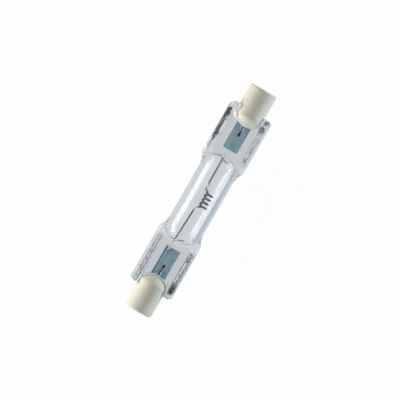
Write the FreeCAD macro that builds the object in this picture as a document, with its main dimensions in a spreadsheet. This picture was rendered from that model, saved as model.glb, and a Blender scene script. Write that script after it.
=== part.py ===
import FreeCAD, Part
import math
import os

import Sketcher
from FreeCAD import Placement, Rotation, Vector

# A double-ended linear halogen bulb. A thick quartz tube is squeezed flat at both ends, and each flat
# pinch seals a thin molybdenum foil with a lead wire welded to either end of it. The inner leads hold
# a coiled tungsten filament. A slotted ceramic cap is cemented over each pinch, and a metal contact
# button sits in a recess in the end of each cap.
#
# +X runs along the bulb, +Y across the flat pinches and +Z out of their faces. The origin is on the
# bulb's axis, half way between its ends. Millimetres.

DIMENSIONS = [
    # overall
    ("overall_length", 78.0, "ceramic end to ceramic end"),
    ("cap_standout", 7.6, "ceramic beyond the end of the quartz"),
    # quartz tube and the shoulders where it runs down to the pinches
    ("tube_diameter", 11.8, "outside of the tube"),
    ("tube_wall", 1.5, "wall of the tube"),
    ("shoulder_start", 2.2, "from the full width of the pinch back to the plain round tube"),
    ("shoulder_radius", 2.9, "outer round from the tube into the shoulder"),
    ("shoulder_angle", 65.0, "how steeply the shoulder falls, in degrees"),
    ("shoulder_foot_radius", 1.5, "hollow round where the shoulder meets the pinch"),
    ("shoulder_flats", 4, "straight steps that the outer round is drawn with"),
    ("foot_flats", 2, "straight steps that the hollow round is drawn with"),
    ("shoulder_toe", 0.07, "how far the shoulder runs in under the face of the pinch"),
    ("cavity_angle", 62.0, "how steeply the gas space closes, in degrees"),
    # pinches
    ("pinch_width", 14.4, "across the two rails"),
    ("pinch_length", 18.7, "from the end of the quartz back to where the pinch has its full width"),
    ("flare_length", 2.6, "over which the tube widens into the pinch"),
    ("flare_inset", 0.18, "how far inside the tube's skin the flare starts"),
    ("web_thickness", 3.0, "flat middle of the pinch"),
    ("rail_thickness", 4.2, "raised edges of the pinch"),
    ("rail_width", 2.1, "each raised edge"),
    ("rail_slope", 0.6, "width of the slope between web and rail"),
    ("rail_round", 1.3, "outer round of the rails"),
    # seal foils and leads
    ("foil_length", 12.0, "molybdenum foil"),
    ("foil_width", 4.9, "molybdenum foil"),
    ("foil_thickness", 0.05, "molybdenum foil"),
    ("foil_taper", 0.6, "width of each etched, thinner edge"),
    ("foil_edge", 0.02, "thickness left at the etched edges"),
    ("foil_margin", 2.0, "from the end of the quartz to the foil's outer end"),
    ("weld_depth", 0.2, "from the bulb's axis down to the face the leads are welded to"),
    ("outer_lead_diameter", 0.6, "molybdenum wire"),
    ("outer_lead_overlap", 6.4, "outer lead laid on the foil"),
    ("inner_lead_diameter", 0.45, "tungsten wire"),
    ("inner_lead_overlap", 2.5, "inner lead laid on the foil"),
    ("inner_lead_weld_left", 1.25, "how far the left lead's weld lies off the axis"),
    ("inner_lead_weld_right", 0.65, "how far the right lead's weld lies off the axis"),
    ("inner_lead_tip_height", 0.5, "how far both inner tips lie off the axis"),
    ("left_tip", 3.5, "from the middle to the left lead's inner tip"),
    ("right_tip", 5.8, "from the middle to the right lead's inner tip"),
    # filament
    ("filament_wire", 0.24, "tungsten wire of the tails"),
    ("wire_sides", 8, "flat sides that the tails are drawn with"),
    ("filament_winding", 0.88, "outside of the fine winding"),
    ("winding_sides", 8, "flat sides that the winding's outside is drawn with"),
    ("filament_mean_radius", 0.92, "large coil, to the middle of the winding"),
    ("filament_pitch", 1.37, "large coil"),
    ("filament_turns", 4, "large coil"),
    ("filament_centre", 0.65, "middle of the large coil along the bulb"),
    ("filament_drop", 1.29, "from the bulb's axis down to the large coil's axis"),
    ("wound_leg_run", 0.85, "right leg, along the bulb from the coil to where its winding stops"),
    ("wound_leg_rise", 1.0, "right leg, across the bulb, likewise"),
    ("wound_leg_bend", 0.55, "right leg, radius at which it turns away from the coil"),
    ("bare_leg_bend", 0.35, "left leg, likewise"),
    # ceramic caps
    ("cap_diameter", 9.0, "barrel"),
    ("cap_length", 12.6, "from the outer end to the tip of the jaws"),
    ("crown_radius", 5.05, "ball-shaped inner end of the jaws"),
    ("crown_flats", 4, "straight steps that the crown is drawn with"),
    ("cap_chamfer", 0.3, "outer end"),
    ("slot_clearance", 0.25, "between the slot and each face of the pinch"),
    ("slot_gap", 0.4, "between the pinch's end and the bottom of the slot"),
    ("recess_diameter", 5.0, "mouth for the holder's contact"),
    ("recess_depth", 1.55, "from the end of the cap to the contact button"),
    ("wire_hole_diameter", 1.9, "hole from the button's seat to the slot"),
    # contacts
    ("button_diameter", 4.0, "contact button"),
    ("button_thickness", 0.9, "contact button"),
    ("button_clearance", 0.05, "between the button and its seat"),
    ("button_chamfer", 0.2, "edge of the button's face"),
    ("stem_diameter", 1.6, "shank behind the button"),
    ("stem_length", 2.2, "shank behind the button"),
    ("stem_bore_depth", 1.6, "how far the outer lead runs into the shank"),
    # cement
    ("cement_collar", 0.55, "cement that stands out round the jaws"),
    ("cement_height", 0.5, "cement above the slot, up the side of the jaws"),
    ("cement_bevel", 0.4, "sloping edge of the cement"),
    ("cement_inset", 0.05, "how far the cement in the slot stays inside the barrel"),
]

SIDES = {"left": 180.0, "right": 0.0}  # each side's turn about +Z from the side it is drawn on

# The flare widens slowly, then quickly, then slowly: each step's place as a share of the flare's
# length back from the pinch, and its width as a share of the widening. Straight runs join the steps.
FLARE_STEPS = ((0.0, 1.0), (0.3, 0.88), (0.65, 0.26), (1.0, 0.0))


class Size:
    """A length as a number for drawing with and as an expression for the sheet to drive."""

    def __init__(self, value, text):
        self.value = value
        self.text = text

    def _join(self, other, sign, value):
        text = other.text if isinstance(other, Size) else repr(other)
        return Size(value, f"({self.text} {sign} {text})")

    def __add__(self, other):
        return self._join(other, "+", self.value + number(other))

    def __sub__(self, other):
        return self._join(other, "-", self.value - number(other))

    def __mul__(self, other):
        return self._join(other, "*", self.value * number(other))

    def __truediv__(self, other):
        return self._join(other, "/", self.value / number(other))

    def __neg__(self):
        return Size(-self.value, f"(-{self.text})")


def number(value):
    return value.value if isinstance(value, Size) else value


def root(value):
    return Size(math.sqrt(value.value), f"sqrt({value.text})")


def sine(degrees):
    return Size(math.sin(math.radians(degrees.value)), f"sin({degrees.text} * 1 deg)")


def cosine(degrees):
    return Size(math.cos(math.radians(degrees.value)), f"cos({degrees.text} * 1 deg)")


def angle_of_sine(share):
    return Size(math.degrees(math.asin(share.value)), f"(asin({share.text}) / 1 deg)")


def heading(rise, run):
    """The angle in degrees of a line that rises by one size over another."""
    return Size(
        math.degrees(math.atan2(rise.value, run.value)), f"atan2({rise.text}; {run.text})"
    )


doc = FreeCAD.newDocument("linear_halogen_bulb")
sheet = doc.addObject("Spreadsheet::Sheet", "sizes")
for line, (alias, default, meaning) in enumerate(DIMENSIONS, start=1):
    sheet.set(f"A{line}", meaning)
    sheet.set(f"B{line}", str(default))
    sheet.setAlias(f"B{line}", alias)
doc.recompute()


def size(alias):
    return Size(float(getattr(sheet, alias)), f"sizes.{alias}")


ZERO = Size(0.0, "0")
half_length = size("overall_length") / 2
half_glass = half_length - size("cap_standout")
pinch_start = half_glass - size("pinch_length")
tube_end = pinch_start - size("shoulder_start")
tube_radius = size("tube_diameter") / 2
half_web = size("web_thickness") / 2
half_slot = half_web + size("slot_clearance")
cap_radius = size("cap_diameter") / 2
mouth = half_length - size("cap_length")
crown_radius = size("crown_radius")
crown_centre = mouth + crown_radius
slot_bottom = half_glass + size("slot_gap")
button_face = half_length - size("recess_depth")
button_back = button_face - size("button_thickness")
stem_tip = button_back - size("stem_length")
outer_lead_end = stem_tip + size("stem_bore_depth")
foil_end = half_glass - size("foil_margin")
foil_start = foil_end - size("foil_length")
outer_lead_tip = foil_end - size("outer_lead_overlap")
parts = {}


# Drawing helpers


def bind(thing, path, value):
    thing.setExpression(path, value.text)


def make(kind, label, **links):
    thing = doc.addObject(kind, label)
    for name, value in links.items():
        setattr(thing, name, value)
    return thing


def turned(side):
    return Placement(Vector(), Rotation(Vector(0, 0, 1), SIDES[side]))


def new_sketch(body, label, plane, offset=None):
    sketch = body.newObject("Sketcher::SketchObject", label)
    support = next(f for f in body.Origin.OriginFeatures if f.Role == plane)
    sketch.AttachmentSupport = (support, [""])
    sketch.MapMode = "FlatFace"
    if offset is not None:
        bind(sketch, "AttachmentOffset.Base.z", offset)
    return sketch


def pin_point(sketch, geometry, end, point):
    """Ties one end of a line or arc to a place given by two sizes."""
    for kind, axis, value in (("DistanceX", -2, point[0]), ("DistanceY", -1, point[1])):
        if value is ZERO:
            sketch.addConstraint(Sketcher.Constraint("PointOnObject", geometry, end, axis))
            continue
        index = sketch.addConstraint(
            Sketcher.Constraint(kind, -1, 1, geometry, end, value.value)
        )
        bind(sketch, f"Constraints[{index}]", value)


def outline(sketch, points, arcs=None):
    """A closed outline through points. arcs maps a leg's number to the arc's centre, and a
    centre's third item says if the arc runs anticlockwise."""
    arcs = arcs or {}
    spots = [Vector(number(x), number(y), 0) for x, y in points]
    for leg, start in enumerate(spots):
        finish = spots[(leg + 1) % len(spots)]
        if leg not in arcs:
            sketch.addGeometry(Part.LineSegment(start, finish), False)
            continue
        cx, cy, anticlockwise = arcs[leg]
        centre = Vector(number(cx), number(cy), 0)
        first, last = (start, finish) if anticlockwise else (finish, start)
        angles = [math.atan2(p.y - centre.y, p.x - centre.x) for p in (first, last)]
        circle = Part.Circle(centre, Vector(0, 0, 1), (start - centre).Length)
        sketch.addGeometry(Part.ArcOfCircle(circle, angles[0], angles[1]), False)
    for leg in range(len(points)):
        before = (leg - 1) % len(points)
        start_end = 1 if leg not in arcs or arcs[leg][2] else 2
        before_end = 2 if before not in arcs or arcs[before][2] else 1
        sketch.addConstraint(
            Sketcher.Constraint("Coincident", before, before_end, leg, start_end)
        )
        pin_point(sketch, leg, start_end, points[leg])
    for leg, (cx, _, _) in arcs.items():
        # the arc's two ends are placed, so one coordinate of its centre fixes it
        index = sketch.addConstraint(
            Sketcher.Constraint("DistanceX", -1, 1, leg, 3, number(cx))
        )
        bind(sketch, f"Constraints[{index}]", cx)


def box_outline(sketch, x_low, x_high, y_low, y_high):
    outline(sketch, [(x_low, y_low), (x_high, y_low), (x_high, y_high), (x_low, y_high)])


def revolve(body, label, points, arcs=None):
    sketch = new_sketch(body, f"{label}_profile", "XY_Plane")
    outline(sketch, points, arcs)
    turn = body.newObject("PartDesign::Revolution", label)
    turn.Profile = sketch
    turn.ReferenceAxis = (sketch, ["H_Axis"])
    turn.Angle = 360.0
    doc.recompute()
    return turn


def cut_through(body, label, sketch):
    """A pocket right through the body, both ways from its sketch."""
    before = body.Shape.Volume
    pocket = body.newObject("PartDesign::Pocket", label)
    pocket.Profile = sketch
    pocket.Type = "ThroughAll"
    pocket.Midplane = True
    doc.recompute()
    if not body.Shape.Volume < before:
        raise RuntimeError(f"{label} cut nothing")
    return pocket


def edges_where(shape, test):
    return [f"Edge{n}" for n, edge in enumerate(shape.Edges, start=1) if test(edge)]


def round_edges(body, label, kind, amount_name, amount, test):
    base = body.Tip
    names = edges_where(base.Shape, test)
    if not names:
        raise RuntimeError(f"{label} found no edges")
    feature = body.newObject(kind, label)
    feature.Base = (base, names)
    bind(feature, amount_name, amount)
    doc.recompute()
    return feature


def is_ring(edge, radius, x):
    """True for a full circle about the X axis with that radius at that place."""
    if edge.Degenerated:
        return False
    curve = edge.Curve
    return (
        isinstance(curve, Part.Circle)
        and abs(curve.Radius - radius.value) < 1e-4
        and abs(curve.Center.x - x.value) < 1e-4
        and abs(curve.Axis.x) > 0.999
    )


def lies_at(edge, z, open_end):
    """True for an edge at that height, above or below, apart from the one at the open end."""
    ends = [vertex.Point for vertex in edge.Vertexes]
    level = abs(ends[0].z - ends[-1].z) < 1e-4 and abs(abs(ends[0].z) - z.value) < 1e-4
    return level and not all(abs(p.x - open_end.value) < 1e-4 for p in ends)


def round_in_flats(centre, radius, first, last, flats):
    """Points on a round, from one angle to another. At 0 degrees a point lies straight across the
    bulb from the centre, and at 90 towards the bulb's end. Straight steps keep the facets few."""
    points = []
    for count in range(int(flats.value) + 1):
        angle = first + (last - first) * (count / int(flats.value))
        points.append((centre[0] + radius * sine(angle), centre[1] + radius * cosine(angle)))
    return points


# Ceramic cap: a pressed steatite barrel. Its outer end is recessed for the holder's contact, and its
# inner end is crowned and slotted into two jaws that straddle the flat pinch.


def ceramic_cap(side):
    body = doc.addObject("PartDesign::Body", f"ceramic_cap_{side}")
    crown_edge = crown_centre - root(crown_radius * crown_radius - cap_radius * cap_radius)
    edge_angle = angle_of_sine(cap_radius / crown_radius) - 90.0
    crown = round_in_flats(
        (crown_centre, ZERO), crown_radius, Size(-90.0, "(-90)"), edge_angle, size("crown_flats")
    )
    recess_radius = size("recess_diameter") / 2
    seat_radius = size("button_diameter") / 2 + size("button_clearance")
    hole_radius = size("wire_hole_diameter") / 2
    hole_end = half_glass - size("slot_gap")
    revolve(
        body,
        f"cap_barrel_{side}",
        [
            (mouth, ZERO),
            *crown[1:-1],
            (crown_edge, cap_radius),
            (half_length, cap_radius),
            (half_length, recess_radius),
            (button_face, recess_radius),
            (button_face, seat_radius),
            (button_back, seat_radius),
            (button_back, hole_radius),
            (hole_end, hole_radius),
            (hole_end, ZERO),
        ],
    )
    round_edges(
        body,
        f"cap_end_chamfer_{side}",
        "PartDesign::Chamfer",
        "Size",
        size("cap_chamfer"),
        lambda edge: is_ring(edge, cap_radius, half_length),
    )
    slot = new_sketch(body, f"cap_slot_outline_{side}", "XZ_Plane")
    box_outline(slot, mouth - cap_radius, slot_bottom, -half_slot, half_slot)
    cut_through(body, f"cap_slot_{side}", slot)
    body.Placement = turned(side)
    return body


# Contact: a turned nickel button with a shank, drilled up the middle for the outer lead.


def contact(side):
    body = doc.addObject("PartDesign::Body", f"contact_{side}")
    button_radius = size("button_diameter") / 2
    stem_radius = size("stem_diameter") / 2
    bore_radius = size("outer_lead_diameter") / 2
    revolve(
        body,
        f"button_and_shank_{side}",
        [
            (button_face, ZERO),
            (button_face, button_radius),
            (button_back, button_radius),
            (button_back, stem_radius),
            (stem_tip, stem_radius),
            (stem_tip, bore_radius),
            (outer_lead_end, bore_radius),
            (outer_lead_end, ZERO),
        ],
    )
    round_edges(
        body,
        f"button_chamfer_{side}",
        "PartDesign::Chamfer",
        "Size",
        size("button_chamfer"),
        lambda edge: is_ring(edge, button_radius, button_face),
    )
    body.Placement = turned(side)
    return body


# Foil: a strip of molybdenum a few hundredths thick, etched thinner towards its long edges.


def foil(side):
    body = doc.addObject("PartDesign::Body", f"seal_foil_{side}")
    half_width = size("foil_width") / 2
    shoulder = half_width - size("foil_taper")
    top = -size("weld_depth")
    bottom = top - size("foil_thickness")
    step = (size("foil_thickness") - size("foil_edge")) / 2
    section = new_sketch(body, f"foil_section_{side}", "YZ_Plane", foil_start)
    outline(
        section,
        [
            (-half_width, bottom + step),
            (-shoulder, bottom),
            (shoulder, bottom),
            (half_width, bottom + step),
            (half_width, top - step),
            (shoulder, top),
            (-shoulder, top),
            (-half_width, top - step),
        ],
    )
    strip = body.newObject("PartDesign::Pad", f"foil_strip_{side}")
    strip.Profile = section
    bind(strip, "Length", size("foil_length"))
    body.Placement = turned(side)
    doc.recompute()
    return body


# Lead: a length of wire, pressed flat underneath where it is welded on to the foil.


def lead(label, diameter, length, flat_from, flat_to):
    """A wire along +X from the origin. The flat runs between two distances from that end."""
    body = doc.addObject("PartDesign::Body", label)
    section = new_sketch(body, f"{label}_section", "YZ_Plane")
    section.addGeometry(Part.Circle(Vector(), Vector(0, 0, 1), number(diameter) / 2), False)
    section.addConstraint(Sketcher.Constraint("Coincident", 0, 3, -1, 1))
    index = section.addConstraint(Sketcher.Constraint("Diameter", 0, number(diameter)))
    bind(section, f"Constraints[{index}]", diameter)
    wire = body.newObject("PartDesign::Pad", f"{label}_wire")
    wire.Profile = section
    bind(wire, "Length", length)
    doc.recompute()
    flat = new_sketch(body, f"{label}_flat_outline", "XZ_Plane")
    box_outline(flat, flat_from, flat_to, -diameter, -size("weld_depth"))
    cut_through(body, f"{label}_flat", flat)
    return body


def outer_lead(side):
    diameter = size("outer_lead_diameter")
    length = outer_lead_end - outer_lead_tip
    overlap = size("outer_lead_overlap")
    body = lead(f"outer_lead_{side}", diameter, length, -diameter, overlap)
    body.Placement = turned(side)
    direction = 1 if side == "right" else -1
    bind(body, "Placement.Base.x", outer_lead_tip * direction)
    return body


def inner_lead_points(side):
    """Where a side's inner lead starts on its foil and where its tip is, as sizes in the
    bulb's own frame."""
    weld = foil_start + size("inner_lead_overlap")
    direction = 1 if side == "right" else -1
    start = (weld * direction, size(f"inner_lead_weld_{side}"))
    tip = (size(f"{side}_tip") * direction, size("inner_lead_tip_height"))
    return start, tip


def inner_lead(side):
    """Runs from its tip outwards to the foil."""
    diameter = size("inner_lead_diameter")
    start, tip = inner_lead_points(side)
    run, rise = start[0] - tip[0], start[1] - tip[1]
    length = root(run * run + rise * rise)
    flat_from = length - size("inner_lead_overlap")
    body = lead(f"inner_lead_{side}", diameter, length, flat_from, length + diameter)
    # any small turn sets the axis, and the expression then sets the angle
    body.Placement = Placement(Vector(), Rotation(Vector(0, 0, 1), 1.0))
    bind(body, "Placement.Rotation.Angle", heading(rise, run))
    bind(body, "Placement.Base.x", tip[0])
    bind(body, "Placement.Base.y", tip[1])
    doc.recompute()
    return body


# Filament: fine tungsten wire wound into a long thin spring, which is wound again into a few large
# turns. The solid is that spring's outside, and its two tails are the bare wire.


def ring_of_sides(centre, direction, radius, sides):
    """A closed many-sided outline across a path."""
    direction = Vector(direction).normalize()
    first = direction.cross(Vector(0, 0, 1)).normalize()
    second = direction.cross(first)
    corners = []
    for count in range(int(sides)):
        turn = 2 * math.pi * count / int(sides)
        corners.append(centre + (first * math.cos(turn) + second * math.sin(turn)) * radius)
    return Part.makePolygon(corners + corners[:1])


def swept(edges, radius, sides):
    path = Part.Wire(edges)
    first = path.OrderedEdges[0]
    start = path.OrderedVertexes[0]
    direction = first.tangentAt(first.parameterAt(start))
    section = ring_of_sides(start.Point, direction, radius, sides)
    return path.makePipeShell([section], True, False)


def bend_and_run(start, direction, finish, radius):
    """An arc that leaves start along direction, and the straight run that follows it to finish."""
    across = finish - start
    normal = direction.cross(across).normalize()
    inward = normal.cross(direction)
    centre = start + inward * radius
    reach = finish - centre
    # the run touches the arc where the centre, the touch point and finish make a right angle
    opening = math.acos(radius / reach.Length)
    touch = Rotation(normal, math.degrees(-opening)).multVec(reach.normalize() * radius) + centre
    middle = ((start - centre) + (touch - centre)).normalize() * radius + centre
    return [Part.Arc(start, middle, touch).toShape(), Part.LineSegment(touch, finish).toShape()]


def filament(leads):
    pitch, turns = size("filament_pitch").value, size("filament_turns").value
    coil = Part.makeHelix(pitch, pitch * turns, size("filament_mean_radius").value)
    # the helix runs up +Z from (radius, 0, 0): it is laid along +X with its start on top
    lay = Rotation(FreeCAD.Matrix(0, 0, 1, 0, 1, 0, 0, 0, 0, 1, 0, 0))
    left_end = size("filament_centre").value - pitch * turns / 2
    coil.Placement = Placement(Vector(left_end, -size("filament_drop").value, 0), lay)
    edge = coil.Edges[0]
    wire_radius = size("filament_wire").value / 2
    tips = {}
    for side in SIDES:
        _, tip = inner_lead_points(side)
        tips[side] = Vector(number(tip[0]), number(tip[1]), 0)
    # the right leg is still wound where it leaves the coil, and the left one is bare wire
    joint, away = edge.valueAt(edge.LastParameter), edge.tangentAt(edge.LastParameter)
    leg_end = joint + Vector(size("wound_leg_run").value, size("wound_leg_rise").value, 0)
    leg = bend_and_run(joint, away, leg_end, size("wound_leg_bend").value)
    along = (tips["right"] - leg_end).normalize() * wire_radius
    right_tail = [Part.LineSegment(leg_end - along, tips["right"] + along).toShape()]
    start, away = edge.valueAt(edge.FirstParameter), edge.tangentAt(edge.FirstParameter) * -1
    arc, _ = bend_and_run(start, away, tips["left"], size("bare_leg_bend").value)
    touch = arc.Vertexes[-1].Point
    along = (tips["left"] - touch).normalize() * wire_radius
    left_tail = [
        Part.LineSegment(start - away * wire_radius, start).toShape(),
        arc,
        Part.LineSegment(touch, tips["left"] + along).toShape(),
    ]
    shape = swept([edge] + leg, size("filament_winding").value / 2, size("winding_sides").value)
    for side, tail in (("left", left_tail), ("right", right_tail)):
        wire = swept(tail, wire_radius, size("wire_sides").value)
        shape = shape.fuse(wire.cut(leads[side].Shape))
    made = doc.addObject("Part::Feature", "filament")
    made.Shape = shape.removeSplitter()
    return made


# Quartz envelope: the tube and its shoulders as one turned form, with a flat pinch let into each end.


def slope_run(drop, angle):
    """How far a straight flank at that angle runs along the bulb while it drops."""
    return drop * cosine(angle) / sine(angle)


def bulb_outside():
    body = doc.addObject("PartDesign::Body", "tube_outside")
    angle = size("shoulder_angle")
    over_radius = size("shoulder_radius")
    over = round_in_flats(
        (tube_end, tube_radius - over_radius), over_radius, ZERO, angle, size("shoulder_flats")
    )
    foot = size("shoulder_foot_radius")
    core = half_web - size("shoulder_toe")
    foot_top = core + foot - foot * cosine(angle)
    foot_start = over[-1][0] + slope_run(over[-1][1] - foot_top, angle)
    apex = foot_start + foot * sine(angle)
    hollow = round_in_flats(
        (apex, core + foot), foot, angle + 180.0, Size(180.0, "180"), size("foot_flats")
    )
    right = [(tube_end, tube_radius), *over[1:], *hollow[:-1], (apex, core), (apex, ZERO)]
    left = [(-x, y) for x, y in reversed(right)]
    revolve(body, "tube_and_shoulders", left + right)
    return body


def gas_space():
    body = doc.addObject("PartDesign::Body", "gas_space")
    bore = tube_radius - size("tube_wall")
    apex = tube_end + slope_run(bore, size("cavity_angle"))
    points = [(-apex, ZERO), (-tube_end, bore), (tube_end, bore), (apex, ZERO)]
    revolve(body, "bore_and_ends", points)
    return body


def pinch_section(sketch, half_width):
    """Half of the pinch's width is given: a flat web between two rounded rails."""
    rail = size("rail_thickness") / 2
    inner = half_width - size("rail_width")
    outer = inner + size("rail_slope")
    edge_round = size("rail_round")
    corner = half_width - edge_round
    low = rail - edge_round
    right_top = [(inner, half_web), (outer, rail), (corner, rail), (half_width, low)]
    right_bottom = [(x, -y) for x, y in reversed(right_top)]
    left_bottom = [(-x, -y) for x, y in right_top]
    left_top = [(-x, y) for x, y in reversed(right_top)]
    points = right_top + right_bottom + left_bottom + left_top
    arcs = {
        2: (corner, low, False),
        4: (corner, -low, False),
        10: (-corner, -low, False),
        12: (-corner, low, False),
    }
    outline(sketch, points, arcs)


def pinch(side):
    body = doc.addObject("PartDesign::Body", f"pinch_{side}")
    full = size("pinch_width") / 2
    slim = tube_radius - size("flare_inset")
    plain = new_sketch(body, f"pinch_section_{side}", "YZ_Plane", pinch_start)
    pinch_section(plain, full)
    run = body.newObject("PartDesign::Pad", f"pinch_run_{side}")
    run.Profile = plain
    bind(run, "Length", size("pinch_length"))
    doc.recompute()
    sections = []
    for back, share in FLARE_STEPS:
        place = pinch_start - size("flare_length") * back
        step = new_sketch(body, f"flare_{side}_{len(sections)}", "YZ_Plane", place)
        pinch_section(step, slim + (full - slim) * share)
        sections.append(step)
    flare = body.newObject("PartDesign::AdditiveLoft", f"pinch_flare_{side}")
    flare.Profile = sections[0]
    flare.Sections = sections[1:]
    flare.Ruled = True
    body.Placement = turned(side)
    doc.recompute()
    return body


def quartz_envelope(pinches, inserts):
    glass = make("Part::MultiFuse", "glass_outside", Shapes=[bulb_outside()] + pinches, Refine=True)
    hollow = make("Part::Cut", "glass_hollow", Base=glass, Tool=gas_space())
    metal = make("Part::MultiFuse", "sealed_metal", Shapes=inserts)
    doc.recompute()
    return make("Part::Cut", "quartz_envelope", Base=hollow, Tool=metal)


# Cement: a pale paste that fills the slot round the pinch and stands out in a low collar.


def pad_both_ways(body, label, sketch, thickness):
    pad = body.newObject("PartDesign::Pad", label)
    pad.Profile = sketch
    pad.Midplane = True
    bind(pad, "Length", thickness)
    doc.recompute()
    return pad


def cement(side, limits):
    body = doc.addObject("PartDesign::Body", f"cement_form_{side}")
    collar = size("cement_collar")
    half_width = cap_radius + collar
    nose = crown_radius + collar
    corner = crown_centre - root(nose * nose - half_width * half_width)
    plan = new_sketch(body, f"cement_plan_{side}", "XY_Plane")
    outline(
        plan,
        [
            (corner, -half_width),
            (half_glass, -half_width),
            (half_glass, half_width),
            (corner, half_width),
        ],
        {3: (crown_centre, ZERO, True)},
    )
    pad_both_ways(body, f"cement_layer_{side}", plan, (half_slot + size("cement_height")) * 2)
    round_edges(
        body,
        f"cement_edge_{side}",
        "PartDesign::Chamfer",
        "Size",
        size("cement_bevel"),
        lambda edge: lies_at(edge, half_slot + size("cement_height"), half_glass),
    )
    seat = new_sketch(body, f"cement_seat_{side}", "XY_Plane")
    chord = root(cap_radius * cap_radius - half_slot * half_slot) - size("cement_inset")
    box_outline(seat, half_glass - collar, slot_bottom, -chord, chord)
    pad_both_ways(body, f"cement_bed_{side}", seat, half_slot * 2)
    body.Placement = turned(side)
    doc.recompute()
    form = body
    for limit in limits:
        form = make("Part::Cut", f"{limit.Label}_out_of_cement", Base=form, Tool=limit)
    form.Label = f"cement_{side}"
    return form


# The whole bulb

for side in SIDES:
    parts[f"ceramic_cap_{side}"] = ceramic_cap(side)
    parts[f"contact_{side}"] = contact(side)
    parts[f"seal_foil_{side}"] = foil(side)
    parts[f"outer_lead_{side}"] = outer_lead(side)
    parts[f"inner_lead_{side}"] = inner_lead(side)
doc.recompute()
parts["filament"] = filament({side: parts[f"inner_lead_{side}"] for side in SIDES})
sealed = [
    parts[f"{piece}_{side}"]
    for side in SIDES
    for piece in ("seal_foil", "outer_lead", "inner_lead")
]
pinches = {side: pinch(side) for side in SIDES}
parts["quartz_envelope"] = quartz_envelope(list(pinches.values()), sealed)
for side in SIDES:
    limits = (parts[f"ceramic_cap_{side}"], pinches[side], parts[f"outer_lead_{side}"])
    parts[f"cement_{side}"] = cement(side, limits)
doc.recompute()

for thing in doc.Objects:
    if {"Invalid", "Error"} & set(thing.State):
        raise RuntimeError(f"{thing.Label} failed: {thing.State}")
os.makedirs("parts", exist_ok=True)
for label, thing in parts.items():
    shape = thing.Shape
    if shape.isNull() or not shape.isValid() or not shape.Solids:
        raise RuntimeError(f"{label} has no valid solid")
    shape.exportStep(f"parts/{label}.step")
    box = shape.BoundBox
    print(
        f"{label:20s} solids {len(shape.Solids)} faces {len(shape.Faces):3d} volume {shape.Volume:9.3f}"
        f" x {box.XMin:7.2f} {box.XMax:7.2f} y {box.YMin:6.2f} {box.YMax:6.2f}"
        f" z {box.ZMin:6.2f} {box.ZMax:6.2f}"
    )
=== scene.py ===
import math

import bmesh
import bpy
import numpy as np
from mathutils import Matrix, Vector, noise


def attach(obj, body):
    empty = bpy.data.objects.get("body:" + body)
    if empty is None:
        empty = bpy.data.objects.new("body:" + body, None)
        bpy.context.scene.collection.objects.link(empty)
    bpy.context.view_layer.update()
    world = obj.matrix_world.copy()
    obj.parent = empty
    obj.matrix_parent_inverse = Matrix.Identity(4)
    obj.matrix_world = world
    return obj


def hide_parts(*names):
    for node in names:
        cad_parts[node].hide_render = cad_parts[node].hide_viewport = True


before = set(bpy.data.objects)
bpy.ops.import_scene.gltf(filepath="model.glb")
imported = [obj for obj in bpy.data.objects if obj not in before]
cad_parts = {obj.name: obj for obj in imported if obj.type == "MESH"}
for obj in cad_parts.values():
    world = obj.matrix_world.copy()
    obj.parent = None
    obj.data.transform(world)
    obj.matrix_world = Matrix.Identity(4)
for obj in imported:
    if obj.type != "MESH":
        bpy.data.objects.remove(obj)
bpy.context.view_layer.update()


# The filament: one length of drawn tungsten wire, wound into a fine spring, which is wound again
# into four large turns. Its right leg is still wound where it leaves the coil and its left leg is
# bare wire. Each end is welded to the tip of an inner lead.

MM = 0.001
FILAMENT_WIRE = 0.17 * MM
FINE_PITCH = 0.4 * MM  # drawn coarser than the real winding, so that it shows
FINE_RADIUS = 0.28 * MM  # from the spring's axis to the middle of the wire
LARGE_RADIUS = 1.05 * MM
LARGE_PITCH = 1.37 * MM
LARGE_TURNS = 4
TURN_ADVANCE = (1.5, 0.35)  # each turn stands nearly square below, and steps on at its top
COIL_LEFT_END = -2.09 * MM
COIL_DROP = -1.42 * MM
COIL_POINTS = 900
PATH_STEP = 0.034 * MM
LEFT_LEG = np.array([(-3.62, 0.5, 0.0), (-2.9, 0.46, -0.04), (-2.4, 0.2, -0.16)]) * MM
RIGHT_LEG = np.array([(3.7, 0.1, 0.16), (4.2, 0.6, 0.04), (4.48, 0.6, 0.0), (4.78, 0.34, 0.02),
                      (5.16, 0.08, 0.05), (5.48, 0.14, 0.02), (5.7, 0.42, 0.0), (5.95, 0.5, 0.0)]) * MM
WOUND_FROM = -2.3 * MM
WOUND_TO = 4.3 * MM
UNWINDS_OVER = (0.35 * MM, 0.25 * MM)  # at the left and at the right
GRAINS = 9 / MM  # to the metre, so each is a ninth of a millimetre across


def srgb(colour):
    """A written colour, such as '#8c9a9b', as the linear colour that nodes take."""
    parts = [int(colour[place : place + 2], 16) / 255 for place in (1, 3, 5)]
    return tuple(c / 12.92 if c <= 0.04045 else ((c + 0.055) / 1.055) ** 2.4 for c in parts) + (1.0,)


def add(tree, kind, inputs=(), **settings):
    """Adds a node with its settings. An input takes a number, a colour, another node's output, or the
    other node itself, which stands for the first output that it has in use."""
    node = tree.nodes.new(kind)
    for name, value in settings.items():
        setattr(node, name, value)
    for name, value in dict(inputs).items():
        if isinstance(value, bpy.types.Node):
            value = next(output for output in value.outputs if output.enabled)
        if isinstance(value, bpy.types.NodeSocket):
            tree.links.new(value, node.inputs[name])
        else:
            node.inputs[name].default_value = value
    return node


def new_material(name):
    material = bpy.data.materials.new(name)
    material.use_nodes = True
    material.node_tree.nodes.clear()
    return material, material.node_tree


def put(name, data):
    """Puts an object with that mesh, lamp or camera in the scene."""
    thing = bpy.data.objects.new(name, data)
    bpy.context.scene.collection.objects.link(thing)
    return thing


def keep(name, mesh, slot, *nodes):
    """Makes a finished mesh a piece of the bulb that stands for some of the solids."""
    piece = put(name, mesh)
    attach(piece, "root")
    if nodes:
        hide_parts(*nodes)


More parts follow.
